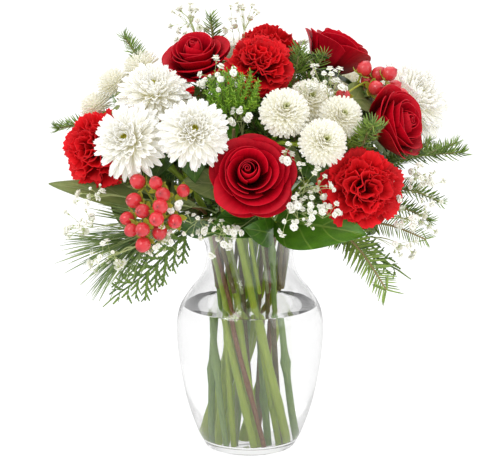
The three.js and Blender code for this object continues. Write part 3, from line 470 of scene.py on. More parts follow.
def patterned(name, sockets):
    """A material with the two things that every pattern here starts from: the UV, and the copy's own tone."""
    made, tree, shader = material(name, **sockets)
    uv = add(tree, "UVMap", uv_map="flow")
    tone = add(tree, "Attribute", out="Fac", attribute_name="tone")
    return made, tree, shader, uv, tone


def toned_ramp(tree, tone, noise, dark, light):
    """A colour between dark and light, from the copy's tone and a noise."""
    both = add(tree, "Math", [tone, 0.6, noise], operation="MULTIPLY_ADD")
    place = add(tree, "MapRange", {"Value": both, "From Min": 0.45, "From Max": 1.1})
    return add(tree, "ValToRGB", {"Fac": place}, [(0.0, dark), (1.0, light)])


def dress(tree, shader, colour, height, depth, distance, **settings):
    """Gives a shader its colour and its bump; distance is in metres."""
    bump = add(tree, "Bump", {"Height": height, "Strength": depth, "Distance": distance}, **settings)
    tree.links.new(colour, shader.inputs["Base Color"])
    tree.links.new(bump, shader.inputs["Normal"])


def petal_finish(name, stops, veins, vein_depth, tone_change=0.35, mottle=0.5, **sockets):
    """A petal: a colour from claw to edge, fine veins along it, and a tone of each petal's own."""
    made, tree, shader, uv, tone = patterned(name, sockets)
    up = add(tree, "SeparateXYZ", [uv], out=1)
    streaks = add(tree, "Mapping", {"Vector": uv, "Scale": (veins, 1.6, 1)})
    vein = add(tree, "TexNoise", {"Vector": streaks, "Scale": 1.0, "Detail": 3.0}, out="Fac")
    offset = add(tree, "Math", [vein, 0.5], operation="SUBTRACT")
    place = add(tree, "Math", [offset, mottle, up], operation="MULTIPLY_ADD")
    colour = add(tree, "ValToRGB", {"Fac": place}, stops)
    shift = add(tree, "Math", [tone, tone_change, 1 - tone_change / 2], operation="MULTIPLY_ADD")
    toned = add(tree, "HueSaturation", {"Value": shift, "Color": colour})
    dress(tree, shader, toned, vein, vein_depth, 0.0006)
    return made


# %% Petals
# Rose petals are velvety: tiny cells scatter the light at grazing angles, which is the sheen.
# The ramp's near-black claw is painted shade for the deep cup; the crimson towards the rim is the petal's own colour.
ROSE_VELVET = petal_finish(
    "rose petal velvet", [(0.0, "#2a0006"), (0.4, "#74000f"), (0.75, "#b0001a"), (1.0, "#ca0622")], 26, 0.25,
    Roughness=0.5, Specular_IOR_Level=0.2, Sheen_Weight=0.03, Sheen_Roughness=0.4, Sheen_Tint=linear("#ff3048"),
)
# Carnation petals are thinner and brighter; the ramp's lighter cut edges are a painted highlight where they catch the
# light.
CARNATION_CREPE = petal_finish(
    "carnation petal crepe", [(0.0, "#4c0008"), (0.45, "#a4020e"), (0.8, "#cc0410"), (1.0, "#e2141f")], 34, 0.35,
    Roughness=0.6, Specular_IOR_Level=0.25, Sheen_Weight=0.04, Sheen_Tint=linear("#ff5a50"),
)
# White petals let light through, nearly as much of each colour, so their shade is soft and warm. A faint glow
# stands for the light that comes through from petal to petal.
WARM_GLOW = dict(Emission_Color=linear("#fff4d0"), Emission_Strength=0.05)


def soft(weight, roughness=0.6, **more):
    """A white petal's sockets; its light goes 2 mm in."""
    return dict(Roughness=roughness, Subsurface_Weight=weight, Subsurface_Scale=0.002,
                Subsurface_Radius=(1.0, 0.9, 0.7), **more)


# The yellow-green towards the claw is partly the petal's own colour and partly painted warm shade for the crevices
# between petals.
MUM_WHITE = petal_finish(
    "white chrysanthemum petal", [(0.0, "#dcd88a"), (0.2, "#f3f1cc"), (0.42, "#fbfaf0"), (1.0, "#fefefc")],
    10, 0.2, 0.04, 0.12, **soft(0.3, **WARM_GLOW))
MUM_EYE = petal_finish(
    "green-yellow eye florets", [(0.0, "#8a9418"), (0.6, "#c9c926"), (1.0, "#e8df4c")], 6, 0.3, 0.5, Roughness=0.6)
BUTTON_CREAM = petal_finish(
    "cream button petal", [(0.0, "#d8d896"), (0.35, "#f4f2d6"), (0.65, "#fbfaec"), (1.0, "#fffef6")],
    8, 0.2, 0.04, 0.12, **soft(0.3, **WARM_GLOW))
BUTTON_HEART = petal_finish(
    "greenish young button petal", [(0.0, "#a4ae4a"), (0.6, "#d9dc94"), (1.0, "#eff0cc")],
    8, 0.2, 0.1, 0.2, **soft(0.15))
# Baby's breath is white; this ramp's cream, darker towards each blossom's middle, is painted shade.
BREATH_WHITE = petal_finish(
    "baby's breath petal", [(0.0, "#dadfba"), (1.0, "#f8f7ee")], 6, 0.2, 0.06, **soft(0.15, 0.7))


# %% Stems, bark, needles and leaves
def plant_finish(name, light, dark, round_mm, along_mm, depth, **sockets):
    """A green surface with streaks that run along it; its UV is in millimetres."""
    made, tree, shader, uv, tone = patterned(name, sockets)
    streaks = add(tree, "Mapping", {"Vector": uv, "Scale": (1 / round_mm, 1 / along_mm, 1)})
    grain = add(tree, "TexNoise", {"Vector": streaks, "Scale": 1.0, "Detail": 4.0}, out="Fac")
    dress(tree, shader, toned_ramp(tree, tone, grain, dark, light), grain, depth, 0.0006)
    return made


STEM_GREEN = plant_finish("waxy green stem", "#d4ea54", "#a6ca3e", 0.8, 14, 0.3, Roughness=0.38)
STEM_BLUE = plant_finish("blue-green carnation stem", "#b6d478", "#84ae60", 1.2, 20, 0.15, Roughness=0.5)
STEM_BROWN = plant_finish("reddish bark", "#cf9c70", "#8a5634", 0.8, 3, 0.8, Roughness=0.65)
TWIG_BARK = plant_finish("grey-brown twig bark", "#b3a272", "#7a6a44", 0.8, 2, 0.9, Roughness=0.75)
CALYX_GREEN = plant_finish("green sepal", "#86a851", "#4c7230", 1.0, 8, 0.4, Roughness=0.5)
BREATH_STALK = plant_finish("pale wiry stalk", "#c6cf92", "#92a566", 0.4, 5, 0.2, Roughness=0.55)
FIR_GREEN = plant_finish("fir needle", "#90ae4c", "#2b4a18", 0.5, 6, 0.2, Roughness=0.42)
PINE_GREEN = plant_finish("pine needle", "#a5b878", "#56723c", 0.5, 30, 0.2, Roughness=0.4)
CEDAR_GREEN = plant_finish("cedar scales", "#728e2c", "#32541a", 1.2, 2.4, 0.7, Roughness=0.5)
TUFT_GREEN = plant_finish("young bright needles", "#9cc43a", "#4c8012", 0.6, 8, 0.2, Roughness=0.42)
print("materials", len(bpy.data.materials))

# %% [markdown]
# ## The vase and the water
# The vase is blown glass, 203 mm tall, with a thick foot and a wall of nearly 3 mm. It could be a stack of
# cylinders, but a smooth outline spun round the axis gives the even curve that the glass shows. The water is
# spun from the inner outline and reaches a hair into the glass, so that no film of air shows between them.


# %% Spinning an outline
def spun(name, outline, finish, node, steps=96):
    """A body of revolution from an outline in mm that starts and ends on the axis."""
    bpy.ops.object.select_all(action="DESELECT")
    bpy.ops.mesh.primitive_plane_add(size=1)
    piece = bpy.context.object
    piece.name = name
    piece.data.name = name
    piece.data.clear_geometry()
    edges = [(i, i + 1) for i in range(len(outline) - 1)]
    piece.data.from_pydata([(r * MM, 0, z * MM) for r, z in outline], edges, [])
    bpy.ops.object.mode_set(mode="EDIT")
    bpy.ops.mesh.select_all(action="SELECT")
    bpy.ops.mesh.spin(steps=steps, angle=TURN, center=(0, 0, 0), axis=(0, 0, 1))
    bpy.ops.mesh.select_all(action="SELECT")
    bpy.ops.mesh.remove_doubles(threshold=0.00001)
    bpy.ops.mesh.normals_make_consistent(inside=False)
    bpy.ops.object.mode_set(mode="OBJECT")
    piece.data.materials.append(finish)
    only(piece)
    bpy.ops.object.shade_smooth_by_angle(angle=math.radians(40))
    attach(piece, "root")
    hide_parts(node)
    print(name, "faces", len(piece.data.polygons))


# %% Glass and water
# Soda glass: clear, with an index of 1.5. A studio's dark corners draw a glass's outline. Here a thin grey coat
# does it, because light that crosses a coat at a slant goes further through its tint.
CLEAR = dict(Base_Color=linear("#ffffff"), Roughness=0.0, Transmission_Weight=1.0)
GLASS, _, _ = material("clear soda glass", IOR=1.5, **CLEAR, Coat_Weight=1.0, Coat_Roughness=0.0, Coat_IOR=1.01,
                       Coat_Tint=linear("#fcfcfc"))
WATER, _, _ = material("still water", IOR=1.333, **CLEAR)

WALL_STEPS = 44
outer = smooth_line([(r, 0, z) for r, z in VASE_OUTSIDE[1:]], WALL_STEPS)
outer = [(p.x, p.z) for p in outer]
inner = [(r - VASE_WALL, z) for r, z in outer if z > VASE_FLOOR + 5]
rim_radius, rim_height = outer[-1]
# A rim rounded off, a dished floor inside, and a ring under the foot for it to stand on.
rim = [(rim_radius - 0.3, rim_height), (rim_radius - 1.4, rim_height)]
low = inner[0][0]
floor_curve = [(low - 1.2, VASE_FLOOR + 2.6), (low - 4.4, VASE_FLOOR + 0.6), (low - 9, VASE_FLOOR), (0, VASE_FLOOR)]
foot_curve = [(0, 1.2), (30, 1.2), (33, 0.0), (39, 0.0), (41, 0.6)]
spun("glass_vase_blown", foot_curve + outer + rim + inner[::-1] + floor_curve, GLASS, "glass_vase")

OVERLAP = 0.12  # how far the water reaches into the glass
wet = [(r + OVERLAP, z) for r, z in inner if z < WATER_LEVEL - 1.5]
brim = inside_radius(WATER_LEVEL)
surface = [(brim + OVERLAP, WATER_LEVEL + 1.4), (brim - 1.6, WATER_LEVEL + 0.2), (30, WATER_LEVEL), (0, WATER_LEVEL)]
bottom = VASE_FLOOR - OVERLAP
floor_wet = [(0, bottom), (low - 9, bottom), (low - 4.2, VASE_FLOOR + 0.5), (low - 1.1, VASE_FLOOR + 2.5)]
spun("water_still", floor_wet + wet + surface, WATER, "water")

# %% [markdown]
# ## Stems
# The photograph shows thick pale green stems with leaf scars, thin blue-green carnation stems with swollen
# knots, and a few brown twigs, all crossing in the water. Each is a tube along the CAD's own line, with the
# radius swelling at its knots.


# %% Stem shapes
STEM_STEPS = 60
KNOT_STEPS = 0.9  # half the length of a knot, in steps of its stem


def knotted(line, radius, end_radius, knots, swell, rng, sides=10):
    """A stem that thins to its end and swells at its knots."""
    last = STEM_STEPS
    fine = smooth_line(line, last)
    places = [(i + rng.uniform(0.3, 0.7)) / knots for i in range(knots)]
    radii = []
    for i in range(last + 1):
        t = i / last
        bulge = sum(math.exp(-((t - k) * last / KNOT_STEPS) ** 2) for k in places)
        radii.append(radius + (end_radius - radius) * t + swell * bulge)
    return tube(fine, radii, sides), [fine[int(k * last)] for k in places], fine


def leaf_sheet(length, half, arch, thick=0.6, across=6, along=14, wave=0.05, fold=0.22, phase=0.0):
    """A pointed leaf that grows along +Y: folded at its rib, arched down and a little waved."""
    def place(s, t):
        width = half * (math.sin(math.pi * min(t ** 0.75, 1.0)) ** 0.8 * 0.96 + 0.02) * (1 - 0.1 * t)
        ripple = wave * half * math.sin(7 * t + phase + (1.3 if s > 0 else 0)) * abs(s)
        return Vector((s * width, length * t, fold * abs(s) * width + ripple + length * arch * math.sin(math.pi * t)))
    return bent_sheet(across, along, place, thick)


SEPAL = leaf_sheet(15, 2.6, -0.25, across=3, along=6)
THORN = tube([(0, -0.6, 0), (0, 1.4, 0.3), (0, 3.2, 1.1)], [1.5, 0.8, 0.12], 6)
# How far below its middle a head sits on its stem, as a share of its reach.
HEAD_DEPTH = {"rose": 0.74, "carnation": 0.56, "daisy": 0.3, "button": 0.72}


def under_head(head, kind, into):
    """The way that a head faces, and the point under it where its stem ends, a little way into it."""
    face = Vector(head["face"]).normalized()
    return face, Vector(head["at"]) - face * (HEAD_DEPTH[kind] * head["reach"] - into)


# %% Rose stems, with their hip, sepals and thorns
HIP_START = 13  # how far under the head the stem turns into the hip
THORNS_FROM = NECK_HEIGHT + 16


def rose_stem(heap, m, rng):
    face, top = under_head(m, "rose", 1.5)
    line = stem_line(m, top - face * HIP_START, face)
    stem, _, fine = knotted(line, m["thick"] * 0.95, m["thick"] * 0.8, 7, 0.5, rng)
    heap.lay(stem, tone=rng.uniform(0.35, 0.7))
    hip = [top - face * d for d in (15, 12, 9.5, 7, 4.5, 2.4, 0.8)]
    heap.stalk(hip, [2.9, 3.2, 4.4, 5.8, 6.6, 6.6, 5.2], 12, 0.4, 1)
    for i in range(5):
        out = round_axis(face, i * TURN / 5 + m["seed"])
        start = top - face * 3 + out * 5.6
        heap.lay(SEPAL, turned_to(start, out - face * 0.35, face, rng.uniform(0.9, 1.1)), tone=0.5, finish=1)
    for i in range(6, 56, 6):
        around = (fine[i + 1] - fine[i]).normalized()
        out = round_axis(around, rng.uniform(0, TURN))
        if fine[i].z > THORNS_FROM:
            heap.lay(THORN, turned_to(fine[i] + out * (m["thick"] - 0.9), out, around), tone=0.15, finish=2)


lay_all(ROSES, 0, rose_stem, "_stem_and_hip", [STEM_GREEN, CALYX_GREEN, STEM_BROWN], "stem", node_ending="_stem")

# %% Carnation stems, with knots, paired leaves and the toothed calyx
GRASS_LEAF = leaf_sheet(34, 1.7, 0.12, across=2, along=10)
CALYX_TOOTH = leaf_sheet(7, 2.6, 0.06, across=2, along=4)
CALYX_START = 24
LEAVES_FROM = RIM_CLEAR + 8


def carnation_stem(heap, m, rng):
    face, top = under_head(m, "carnation", 1)
    line = stem_line(m, top - face * CALYX_START, face)
    stem, knots, _ = knotted(line, m["thick"] * 0.92, m["thick"] * 0.8, 4, 1.5, rng)
    heap.lay(stem, tone=rng.uniform(0.3, 0.7))
    calyx = [top - face * d for d in (26, 24, 21, 14, 6, 0)]
    heap.stalk(calyx, [2.3, 4.0, 5.0, 5.5, 5.9, 6.2], 14, 0.55)
    for i in range(5):
        out = round_axis(face, i * TURN / 5 + m["seed"])
        heap.lay(CALYX_TOOTH, turned_to(top - face * 1.5 + out * 5.6, face + out * 0.3, -out), tone=0.6)
    for knot in knots:
        if knot.z > LEAVES_FROM:
            for side in (-1, 1):
                out = face.orthogonal() * side
                heap.lay(GRASS_LEAF, turned_to(knot + out * 2, out + UP * 0.9, UP, rng.uniform(0.6, 0.9)), tone=0.6)


lay_all(CARNATIONS, 20, carnation_stem, "_stem_and_calyx", [STEM_BLUE], "blue_stem", node_ending="_stem")


# %% Forked chrysanthemum stems, each with a collar under its heads
def forked_stem(heap, m, rng):
    kind = m["name"].split("_")[0]
    facing, ends = zip(*(under_head(head, kind, 1) for head in m["heads"]))
    coarse = stem_line(m, ends[0], facing[0], 5, 1)
    radius = m["thick"]
    stem, _, _ = knotted(stem_line(m, ends[0], facing[0]), radius * 0.96, radius * 0.72, 6, 0.6, rng)
    heap.lay(stem, tone=rng.uniform(0.4, 0.75))
    for i, (end, face) in enumerate(zip(ends[1:], facing[1:])):
        start = coarse[2 + i].lerp(coarse[3 + i], 0.3)
        up = (coarse[3 + i] - coarse[2 + i]).normalized()
        reach = (end - start).length * 0.4
        bend = [bezier(start, start + up * reach, end - face * reach, end, t / 12) for t in range(13)]
        heap.lay(knotted(bend, radius * 0.66, radius * 0.55, 2, 0.4, rng)[0], tone=0.6)
    for end, face in zip(ends, facing):
        collar = [end - face * d for d in (5, 3, 1.5, 0, -1.5)]
        heap.stalk(collar, [radius * share for share in (0.7, 0.95, 1.5, 2.2, 2.4)], 12)


lay_all(DAISY_STEMS, 40, forked_stem, "_forked", [STEM_GREEN], "stem")
lay_all(BUTTON_STEMS, 50, forked_stem, "_forked", [STEM_GREEN], "stem")

# %% [markdown]
# ## Roses
# A garden rose opens in layers. Its heart is one petal rolled up like a scroll, the next ones wrap round each
# other, and the outer ones lean out, overlap like tiles and roll back at the rim. A petal's rim is broad and
# round, so each petal is a sheet whose corners reach less far along the curve from claw to rim than its middle.


# %% Rose petals
# A layer: petals, claw and belly and lip as (radius, height), half width in radians, roll of the rim.
ROSE_LAYERS = [
    (5, (0.10, -0.70), (0.64, -0.54), (0.85, -0.08), 0.78, 0.20),
    (4, (0.11, -0.66), (0.62, -0.38), (0.76, 0.09), 0.98, 0.17),
    (3, (0.11, -0.60), (0.58, -0.24), (0.64, 0.23), 1.25, 0.12),
    (3, (0.10, -0.55), (0.50, -0.16), (0.53, 0.30), 1.30, 0.08),
    (3, (0.10, -0.50), (0.43, -0.10), (0.45, 0.33), 1.35, 0.05),
    (2, (0.09, -0.45), (0.35, -0.04), (0.20, 0.35), 1.90, 0.02),
    (2, (0.08, -0.40), (0.26, 0.00), (0.13, 0.37), 1.90, 0.01),
]
HEART_TURNS = 1.8


def rose_petal(layer, reach, bearing, opened, rng):
    _, claw, belly, lip, half, roll = layer
    shut = 1 - opened
    lip = (lip[0] * (1 - 0.16 * shut), lip[1] + 0.85 * shut * (0.46 - lip[1]))
    belly = (belly[0], belly[1] + 0.16 * shut * belly[0])
    loose = min(1.0, lip[0] / 0.6)
    roll *= rng.uniform(0.7, 1.3) * (1 - 0.35 * shut)
    lift = rng.uniform(-0.06, 0.05) * loose
    lean = 1 + rng.uniform(-0.07, 0.05) * loose
    skew = rng.uniform(0.06, 0.15)
    slope = rng.uniform(-0.09, 0.09) * loose
    phase = rng.uniform(0, TURN)
    corner = rng.uniform(0.16, 0.28)
    tip = rng.uniform(-0.03, 0.04)

    def place(s, t):
        u = t * (1 - corner * abs(s) ** 2.6 + tip * max(0.0, 1 - abs(s) * 3))
        radius = (1 - u) ** 2 * claw[0] + 2 * u * (1 - u) * belly[0] + u * u * lip[0]
        height = (1 - u) ** 2 * claw[1] + 2 * u * (1 - u) * belly[1] + u * u * lip[1]
        over = max(0.0, (u - 0.66) / 0.34) ** 1.7
        side = max(0.0, (abs(s) - 0.5) / 0.5) ** 2 * u
        radius = radius * lean * (1 + skew * s) + roll * (over + 0.35 * side)
        height += lift - roll * (0.8 * over + 0.25 * side) + (slope * s + 0.022 * math.sin(3.4 * s + phase)) * u * u
        angle = bearing + s * half * (0.7 + 0.3 * min(1.0, u / 0.35)) + 0.02 * math.sin(4 * t + phase)
        return polar(radius * reach, angle, height * reach)
    return bent_sheet(16, 12, place, 0.5)


def rose_heart(reach, opened, rng):
    """The innermost petal, a scroll of nearly two turns, which narrows to its top."""
    start = rng.uniform(0, TURN)

    def place(s, t):
        along = (s + 1) / 2
        radius = (0.02 + 0.1 * along) * (1 - 0.22 * max(0.0, t - 0.6) / 0.4) * min(1.0, 0.5 + t)
        top = 0.3 + 0.06 * along + 0.02 * math.sin(start + 9 * along) + 0.1 * (1 - opened)
        return polar(radius * reach, start + along * HEART_TURNS * TURN, (-0.4 + t * (top + 0.4)) * reach)
    return bent_sheet(52, 7, place, 0.5)


# %% Rose heads
def rose_head(heap, m, rng):
    where = head_place(m["at"], m["face"])
    reach = m["reach"]
    start = rng.uniform(0, TURN)
    for k, layer in enumerate(ROSE_LAYERS):
        petals = layer[0]
        start += math.pi / petals + 0.2
        drift = Matrix.Translation(Vector((*m["drift"], 0)) * reach * k / len(ROSE_LAYERS))
        for i in range(petals):
            bearing = start + (i + rng.uniform(-0.1, 0.1)) / petals * TURN
            heap.lay(rose_petal(layer, reach, bearing, m["opened"], rng), where @ drift, rng.uniform(0.1, 0.9))
    drift = Matrix.Translation(Vector((*m["drift"], 0)) * reach)
    heap.lay(rose_heart(reach, m["opened"], rng), where @ drift, 0.4)


lay_all(ROSES, 60, rose_head, "_bloom", [ROSE_VELVET], "rose_petal", 60)

# %% [markdown]
# ## Carnations
# A carnation packs some fifty fan-shaped petals into its calyx. Each is crumpled like crepe and cut into teeth
# along its edge. The outer ones spread nearly flat, and the inner ones stand up and are folded much deeper, so
# two families of fans are made once and laid round the head in rows, none of them quite alike in length.


# %% Carnation petals
TEETH = 12


def carnation_fan(variant, spread, ruffle, droop):
    """One petal of length 1 mm that grows along +Y: a fan, ruffled more and more to its toothed edge."""
    rng = random.Random(variant)
    phase = [rng.uniform(0, TURN) for _ in range(4)]
    bites = [rng.uniform(0.4, 1.0) for _ in range(TEETH + 1)]

    def place(s, t):
        fan = spread * (0.14 + 0.86 * min(1.0, max(0.0, (t - 0.1) / 0.62)) ** 1.15)
        step = (s + 1) / 2 * TEETH
        tooth = abs(step % 1.0 - 0.5) * 2
        length = t * (1 - 0.1 * s * s * t + 0.045 * t * math.sin(3.5 * s + phase[0]))
        length *= 1 - 0.06 * bites[int(step + 1e-6)] * tooth * t ** 7
        wave = 0.62 * math.sin(4.2 * s + phase[1]) + 0.38 * math.sin(9 * s + phase[2])
        lift = ruffle * wave * t * t + 0.025 * math.sin(17 * s + phase[3]) * t ** 6 - droop * t * t
        angle = s * fan + 0.06 * math.cos(6 * s + phase[2]) * t ** 3
        return Vector((length * math.sin(angle), length * math.cos(angle), lift))
    return bent_sheet(2 * TEETH, 6, place, 0.018)


# %% Carnation heads
FLAT_FANS = [carnation_fan(v, 0.62, 0.075, 0.05) for v in range(4)]
FOLDED_FANS = [carnation_fan(v + 10, 0.56, 0.17, -0.03) for v in range(5)]
# A row: how many petals, how far they rise from flat in radians, how long they are, and which family.
CARNATION_ROWS = [
    (8, -0.24, 0.97, FLAT_FANS), (9, -0.02, 1.01, FLAT_FANS), (9, 0.2, 1.0, FLAT_FANS),
    (8, 0.42, 0.96, FOLDED_FANS), (8, 0.64, 0.94, FOLDED_FANS), (7, 0.86, 0.92, FOLDED_FANS),
    (6, 1.08, 0.9, FOLDED_FANS), (5, 1.28, 0.88, FOLDED_FANS), (3, 1.48, 0.84, FOLDED_FANS),
]


def carnation_head(heap, m, rng):
    reach = m["reach"]
    where = head_place(m["at"], m["face"])
    for row, (count, rise, length, fans) in enumerate(CARNATION_ROWS):
        for i in range(count):
            bearing = (i + 0.5 * (row % 2) + rng.uniform(-0.3, 0.3)) / count * TURN
            up = rise + rng.uniform(-0.12, 0.12)
            out = polar(math.cos(up), bearing, math.sin(up))
            inward = polar(-math.sin(up), bearing, math.cos(up))
            inward.rotate(Matrix.Rotation(rng.uniform(-0.6, 0.6), 3, out))
            foot = polar(0.05 * reach, bearing, -0.38 * reach)
            size = reach * length * rng.uniform(0.88, 1.03) - 0.05 * reach
            heap.lay(rng.choice(fans), where @ turned_to(foot, out, inward, size), rng.uniform(0.0, 1.0))


lay_all(CARNATIONS, 80, carnation_head, "_bloom", [CARNATION_CREPE], "carnation_petal", 75)

# %% [markdown]
# ## White chrysanthemums
# The large kind has twelve rows of blunt strap petals. The outer rows lie back a little, and the inner ones
# stand and curl in round a small yellow-green eye. The button kind is a low dome of shorter spoons, so dense
# that only their tips show, with a greenish dimple. One strap maker serves both.


# %% Strap petals
def strap(bend, cup, width, twist=0.0, across=4, along=7):
    """A strap petal of length 1 that grows along +Y, grooved, twisted, and bent up or down."""
    def place(s, t):
        half = width * min(1.0, 0.4 + 0.95 * t) * math.sqrt(max(0.03, 1 - max(0.0, (t - 0.76) / 0.25) ** 2))
        notch = 0.02 * (1 - abs(s)) * max(0.0, t - 0.9) * 10
        groove = cup * s * s * half + 0.01 * math.cos(6.5 * s) * t
        turn = twist * t
        return Vector((s * half * math.cos(turn), t - notch, groove + s * half * math.sin(turn) + bend * t * t))
    return bent_sheet(across, along, place, 0.02)


OUTER_STRAPS = [strap(-0.1, 0.7, 0.098, 0.2), strap(0.02, 0.8, 0.106, -0.15),
                strap(0.08, 0.9, 0.092), strap(-0.04, 0.6, 0.102, -0.3)]
INNER_STRAPS = [strap(0.14, 0.8, 0.128, 0.15), strap(0.24, 1.0, 0.135, -0.2), strap(0.08, 0.8, 0.122)]
SPOONS = [strap(bend, 0.45, width, 0.08, 2, 4) for bend, width in ((0.1, 0.1), (0.14, 0.093), (0.07, 0.106))]
TOP_SPOONS = [strap(bend, 0.4, width, 0.08, 2, 4) for bend, width in ((0.02, 0.11), (-0.04, 0.1), (-0.08, 0.115))]
BUD = strap(0.5, 1.8, 0.3)
print("straps", len(OUTER_STRAPS + INNER_STRAPS + SPOONS + TOP_SPOONS), "faces each", len(OUTER_STRAPS[0].sizes))


def rows_of(straps, *rows, finish=0):
    """Rows with their straps and their finish added."""
    return [(*row, straps, finish) for row in rows]


def lay_rows(heap, where, reach, rows, rng, foot_height, lengths=(0.86, 1.02), loose=0.11):
    """Rows of straps round a head; a row is petals, rise, length, start radius, straps and finish."""
    for row, (count, rise, length, start, straps, finish) in enumerate(rows):
        for i in range(count):
            bearing = (i + 0.5 * (row % 2) + rng.uniform(-0.26, 0.26)) / count * TURN
            up = rise + rng.uniform(-loose, loose)
            out = polar(math.cos(up), bearing + rng.uniform(-loose, loose), math.sin(up))
            foot = polar(start * reach, bearing, (foot_height + 0.03 * row) * reach)
            size = (length * rng.uniform(*lengths) - start) * reach
            toward = polar(-math.sin(up), bearing, math.cos(up))
            heap.lay(rng.choice(straps), where @ turned_to(foot, out, toward, size), rng.uniform(0.1, 0.9), finish)


# %% Large heads
DAISY_ROWS = rows_of(
    OUTER_STRAPS, (20, -0.34, 0.97, 0.2), (22, -0.16, 1.03, 0.2), (23, 0.02, 1.02, 0.2), (23, 0.19, 0.99, 0.19),
    (22, 0.36, 0.95, 0.18), (21, 0.52, 0.9, 0.17),
) + rows_of(
    INNER_STRAPS, (20, 0.68, 0.84, 0.16), (18, 0.83, 0.77, 0.15), (16, 0.97, 0.69, 0.14), (14, 1.1, 0.61, 0.13),
    (12, 1.22, 0.53, 0.12), (10, 1.34, 0.46, 0.1),
)
FLORETS = 34


def daisy_head(heap, m, rng):
    reach = m["reach"]
    where = head_place(m["at"], m["face"])
    lay_rows(heap, where, reach, DAISY_ROWS, rng, -0.22)
    base = [polar(0, 0, z * reach) for z in (-0.3, -0.24, -0.1, 0.08, 0.15)]
    heap.stalk(base, [r * reach for r in (0.12, 0.24, 0.26, 0.2, 0.08)], 14, 0.9, place=where)
    for i in range(FLORETS):
        share = (i + 0.5) / FLORETS
        tilt = 1.1 * math.sqrt(share)
        out = polar(math.sin(tilt), i * GOLDEN, math.cos(tilt))
        foot = polar(0.1 * reach * math.sin(tilt), i * GOLDEN, (0.1 + 0.08 * math.cos(tilt)) * reach)
        lean = out + Vector((-out.x, -out.y, 0)) * 0.3
        place = where @ turned_to(foot, lean, -out + UP, reach * (0.09 + 0.06 * share))
        heap.lay(BUD, place, 0.9 - 0.7 * (1 - share), 1)


lay_all(DAISIES, 100, daisy_head, "_bloom", [MUM_WHITE, MUM_EYE], "daisy_petal", 60)

# %% Button heads
BUTTON_ROWS = rows_of(
    SPOONS, (20, -0.5, 0.93, 0.12), (24, -0.3, 0.97, 0.12), (27, -0.1, 1.0, 0.12), (28, 0.08, 1.01, 0.12),
    (28, 0.26, 1.0, 0.12), (27, 0.43, 0.99, 0.11), (25, 0.6, 0.97, 0.1), (23, 0.76, 0.94, 0.08),
    (20, 0.92, 0.91, 0.06),
) + rows_of(
    TOP_SPOONS, (17, 1.07, 0.87, 0.05), (14, 1.21, 0.82, 0.05), (11, 1.34, 0.75, 0.05),
) + rows_of(TOP_SPOONS, (8, 1.46, 0.68, 0.04), finish=1)


def button_cluster(heap, m, rng):
    for at, reach in m["heads"]:
        where = head_place(at, m["face"], rng.uniform(0, TURN))
        lay_rows(heap, where, reach, BUTTON_ROWS, rng, -0.19, (0.96, 1.02), 0.05)
        core = [polar(0, 0, z * reach) for z in (-0.7, -0.5, -0.2, 0.1, 0.3, 0.38)]
        heap.stalk(core, [r * reach for r in (0.16, 0.36, 0.46, 0.4, 0.25, 0.08)], 16, 0.1, place=where)


lay_all(BUTTONS, 120, button_cluster, "_bloom", [BUTTON_CREAM, BUTTON_HEART], "button_petal", 60)

# %% [markdown]
# ## Berries
# The berries are those of a garden St John's wort: egg-shaped, coral red and glossy, on forked stalks, each
# held by green sepals that fold back. A sphere is drawn out to the egg, with the dry tip on top. The
# photograph shows where each berry of the two sprays hangs, so their places are a table.


# %% The berry, its sepal and its leaf
def berry_shape(p):
    """An egg that grows along +Y, 1 mm in radius, with a small dry tip."""
    taper = 1 - 0.13 * p.z
    tip = 0.14 if p.z > 0.97 else 0.0
    return Vector((p.x * taper, p.z * 1.09 + tip, p.y * taper))


bpy.ops.object.select_all(action="DESELECT")
bpy.ops.mesh.primitive_uv_sphere_add(segments=18, ring_count=12, radius=1)
for point in bpy.context.object.data.vertices:
    point.co = berry_shape(point.co.copy())
BERRY = form_of(bpy.context.object)
BERRY_SEPAL = leaf_sheet(8.5, 2.9, -0.2, thick=0.5, across=2, along=4)
SMALL_LEAF = leaf_sheet(27, 7.5, 0.08, across=4, along=8)
print("berry faces", len(BERRY.sizes))

# %% Berry finish
BERRY_STOPS = [(0.0, "#e08a60"), (0.22, "#dc3e42"), (0.8, "#ce2a34"), (0.96, "#a81c26"), (0.99, "#3c2014")]


def berry_finish():
    """Coral skin, orange where it sits on its stalk and brown at its dry tip."""
    made, tree, shader, uv, tone = patterned("coral berry skin", dict(
        Roughness=0.24, Coat_Weight=0.35, Coat_Roughness=0.14, Subsurface_Weight=0.15, Subsurface_Scale=0.002))
    up = add(tree, "SeparateXYZ", [uv], out=1)
    body = add(tree, "ValToRGB", {"Fac": up}, BERRY_STOPS)
    shift = add(tree, "MapRange", {"Value": tone, "To Min": 0.82, "To Max": 1.2})
    colour = add(tree, "HueSaturation", {"Value": shift, "Color": body})
    tree.links.new(colour, shader.inputs["Base Color"])
    return made


BERRY_SKIN = berry_finish()
SEPAL_GREEN = plant_finish("berry sepal", "#c3c640", "#7c8c2c", 1.0, 6, 0.3, Roughness=0.5)

# %% Berry sprays
BERRY_RADIUS = 6.3
BERRY_PLACES = {
    "berries_left": [
        (-79, -118, 266), (-73, -124, 257), (-56, -116, 259), (-98, -114, 250), (-75, -130, 248), (-90, -125, 243),
        (-63, -124, 234), (-78, -134, 238), (-104, -112, 234), (-100, -122, 226), (-90, -130, 228), (-76, -122, 224),
        (-90, -125, 214), (-95, -106, 265),
    ],
    "berries_right": [
        (101, -14, 349), (114, -12, 344), (123, -18, 345), (111, -24, 333), (80, -58, 331), (128, -8, 332),
        (134, -4, 325), (104, -8, 338),
    ],
}


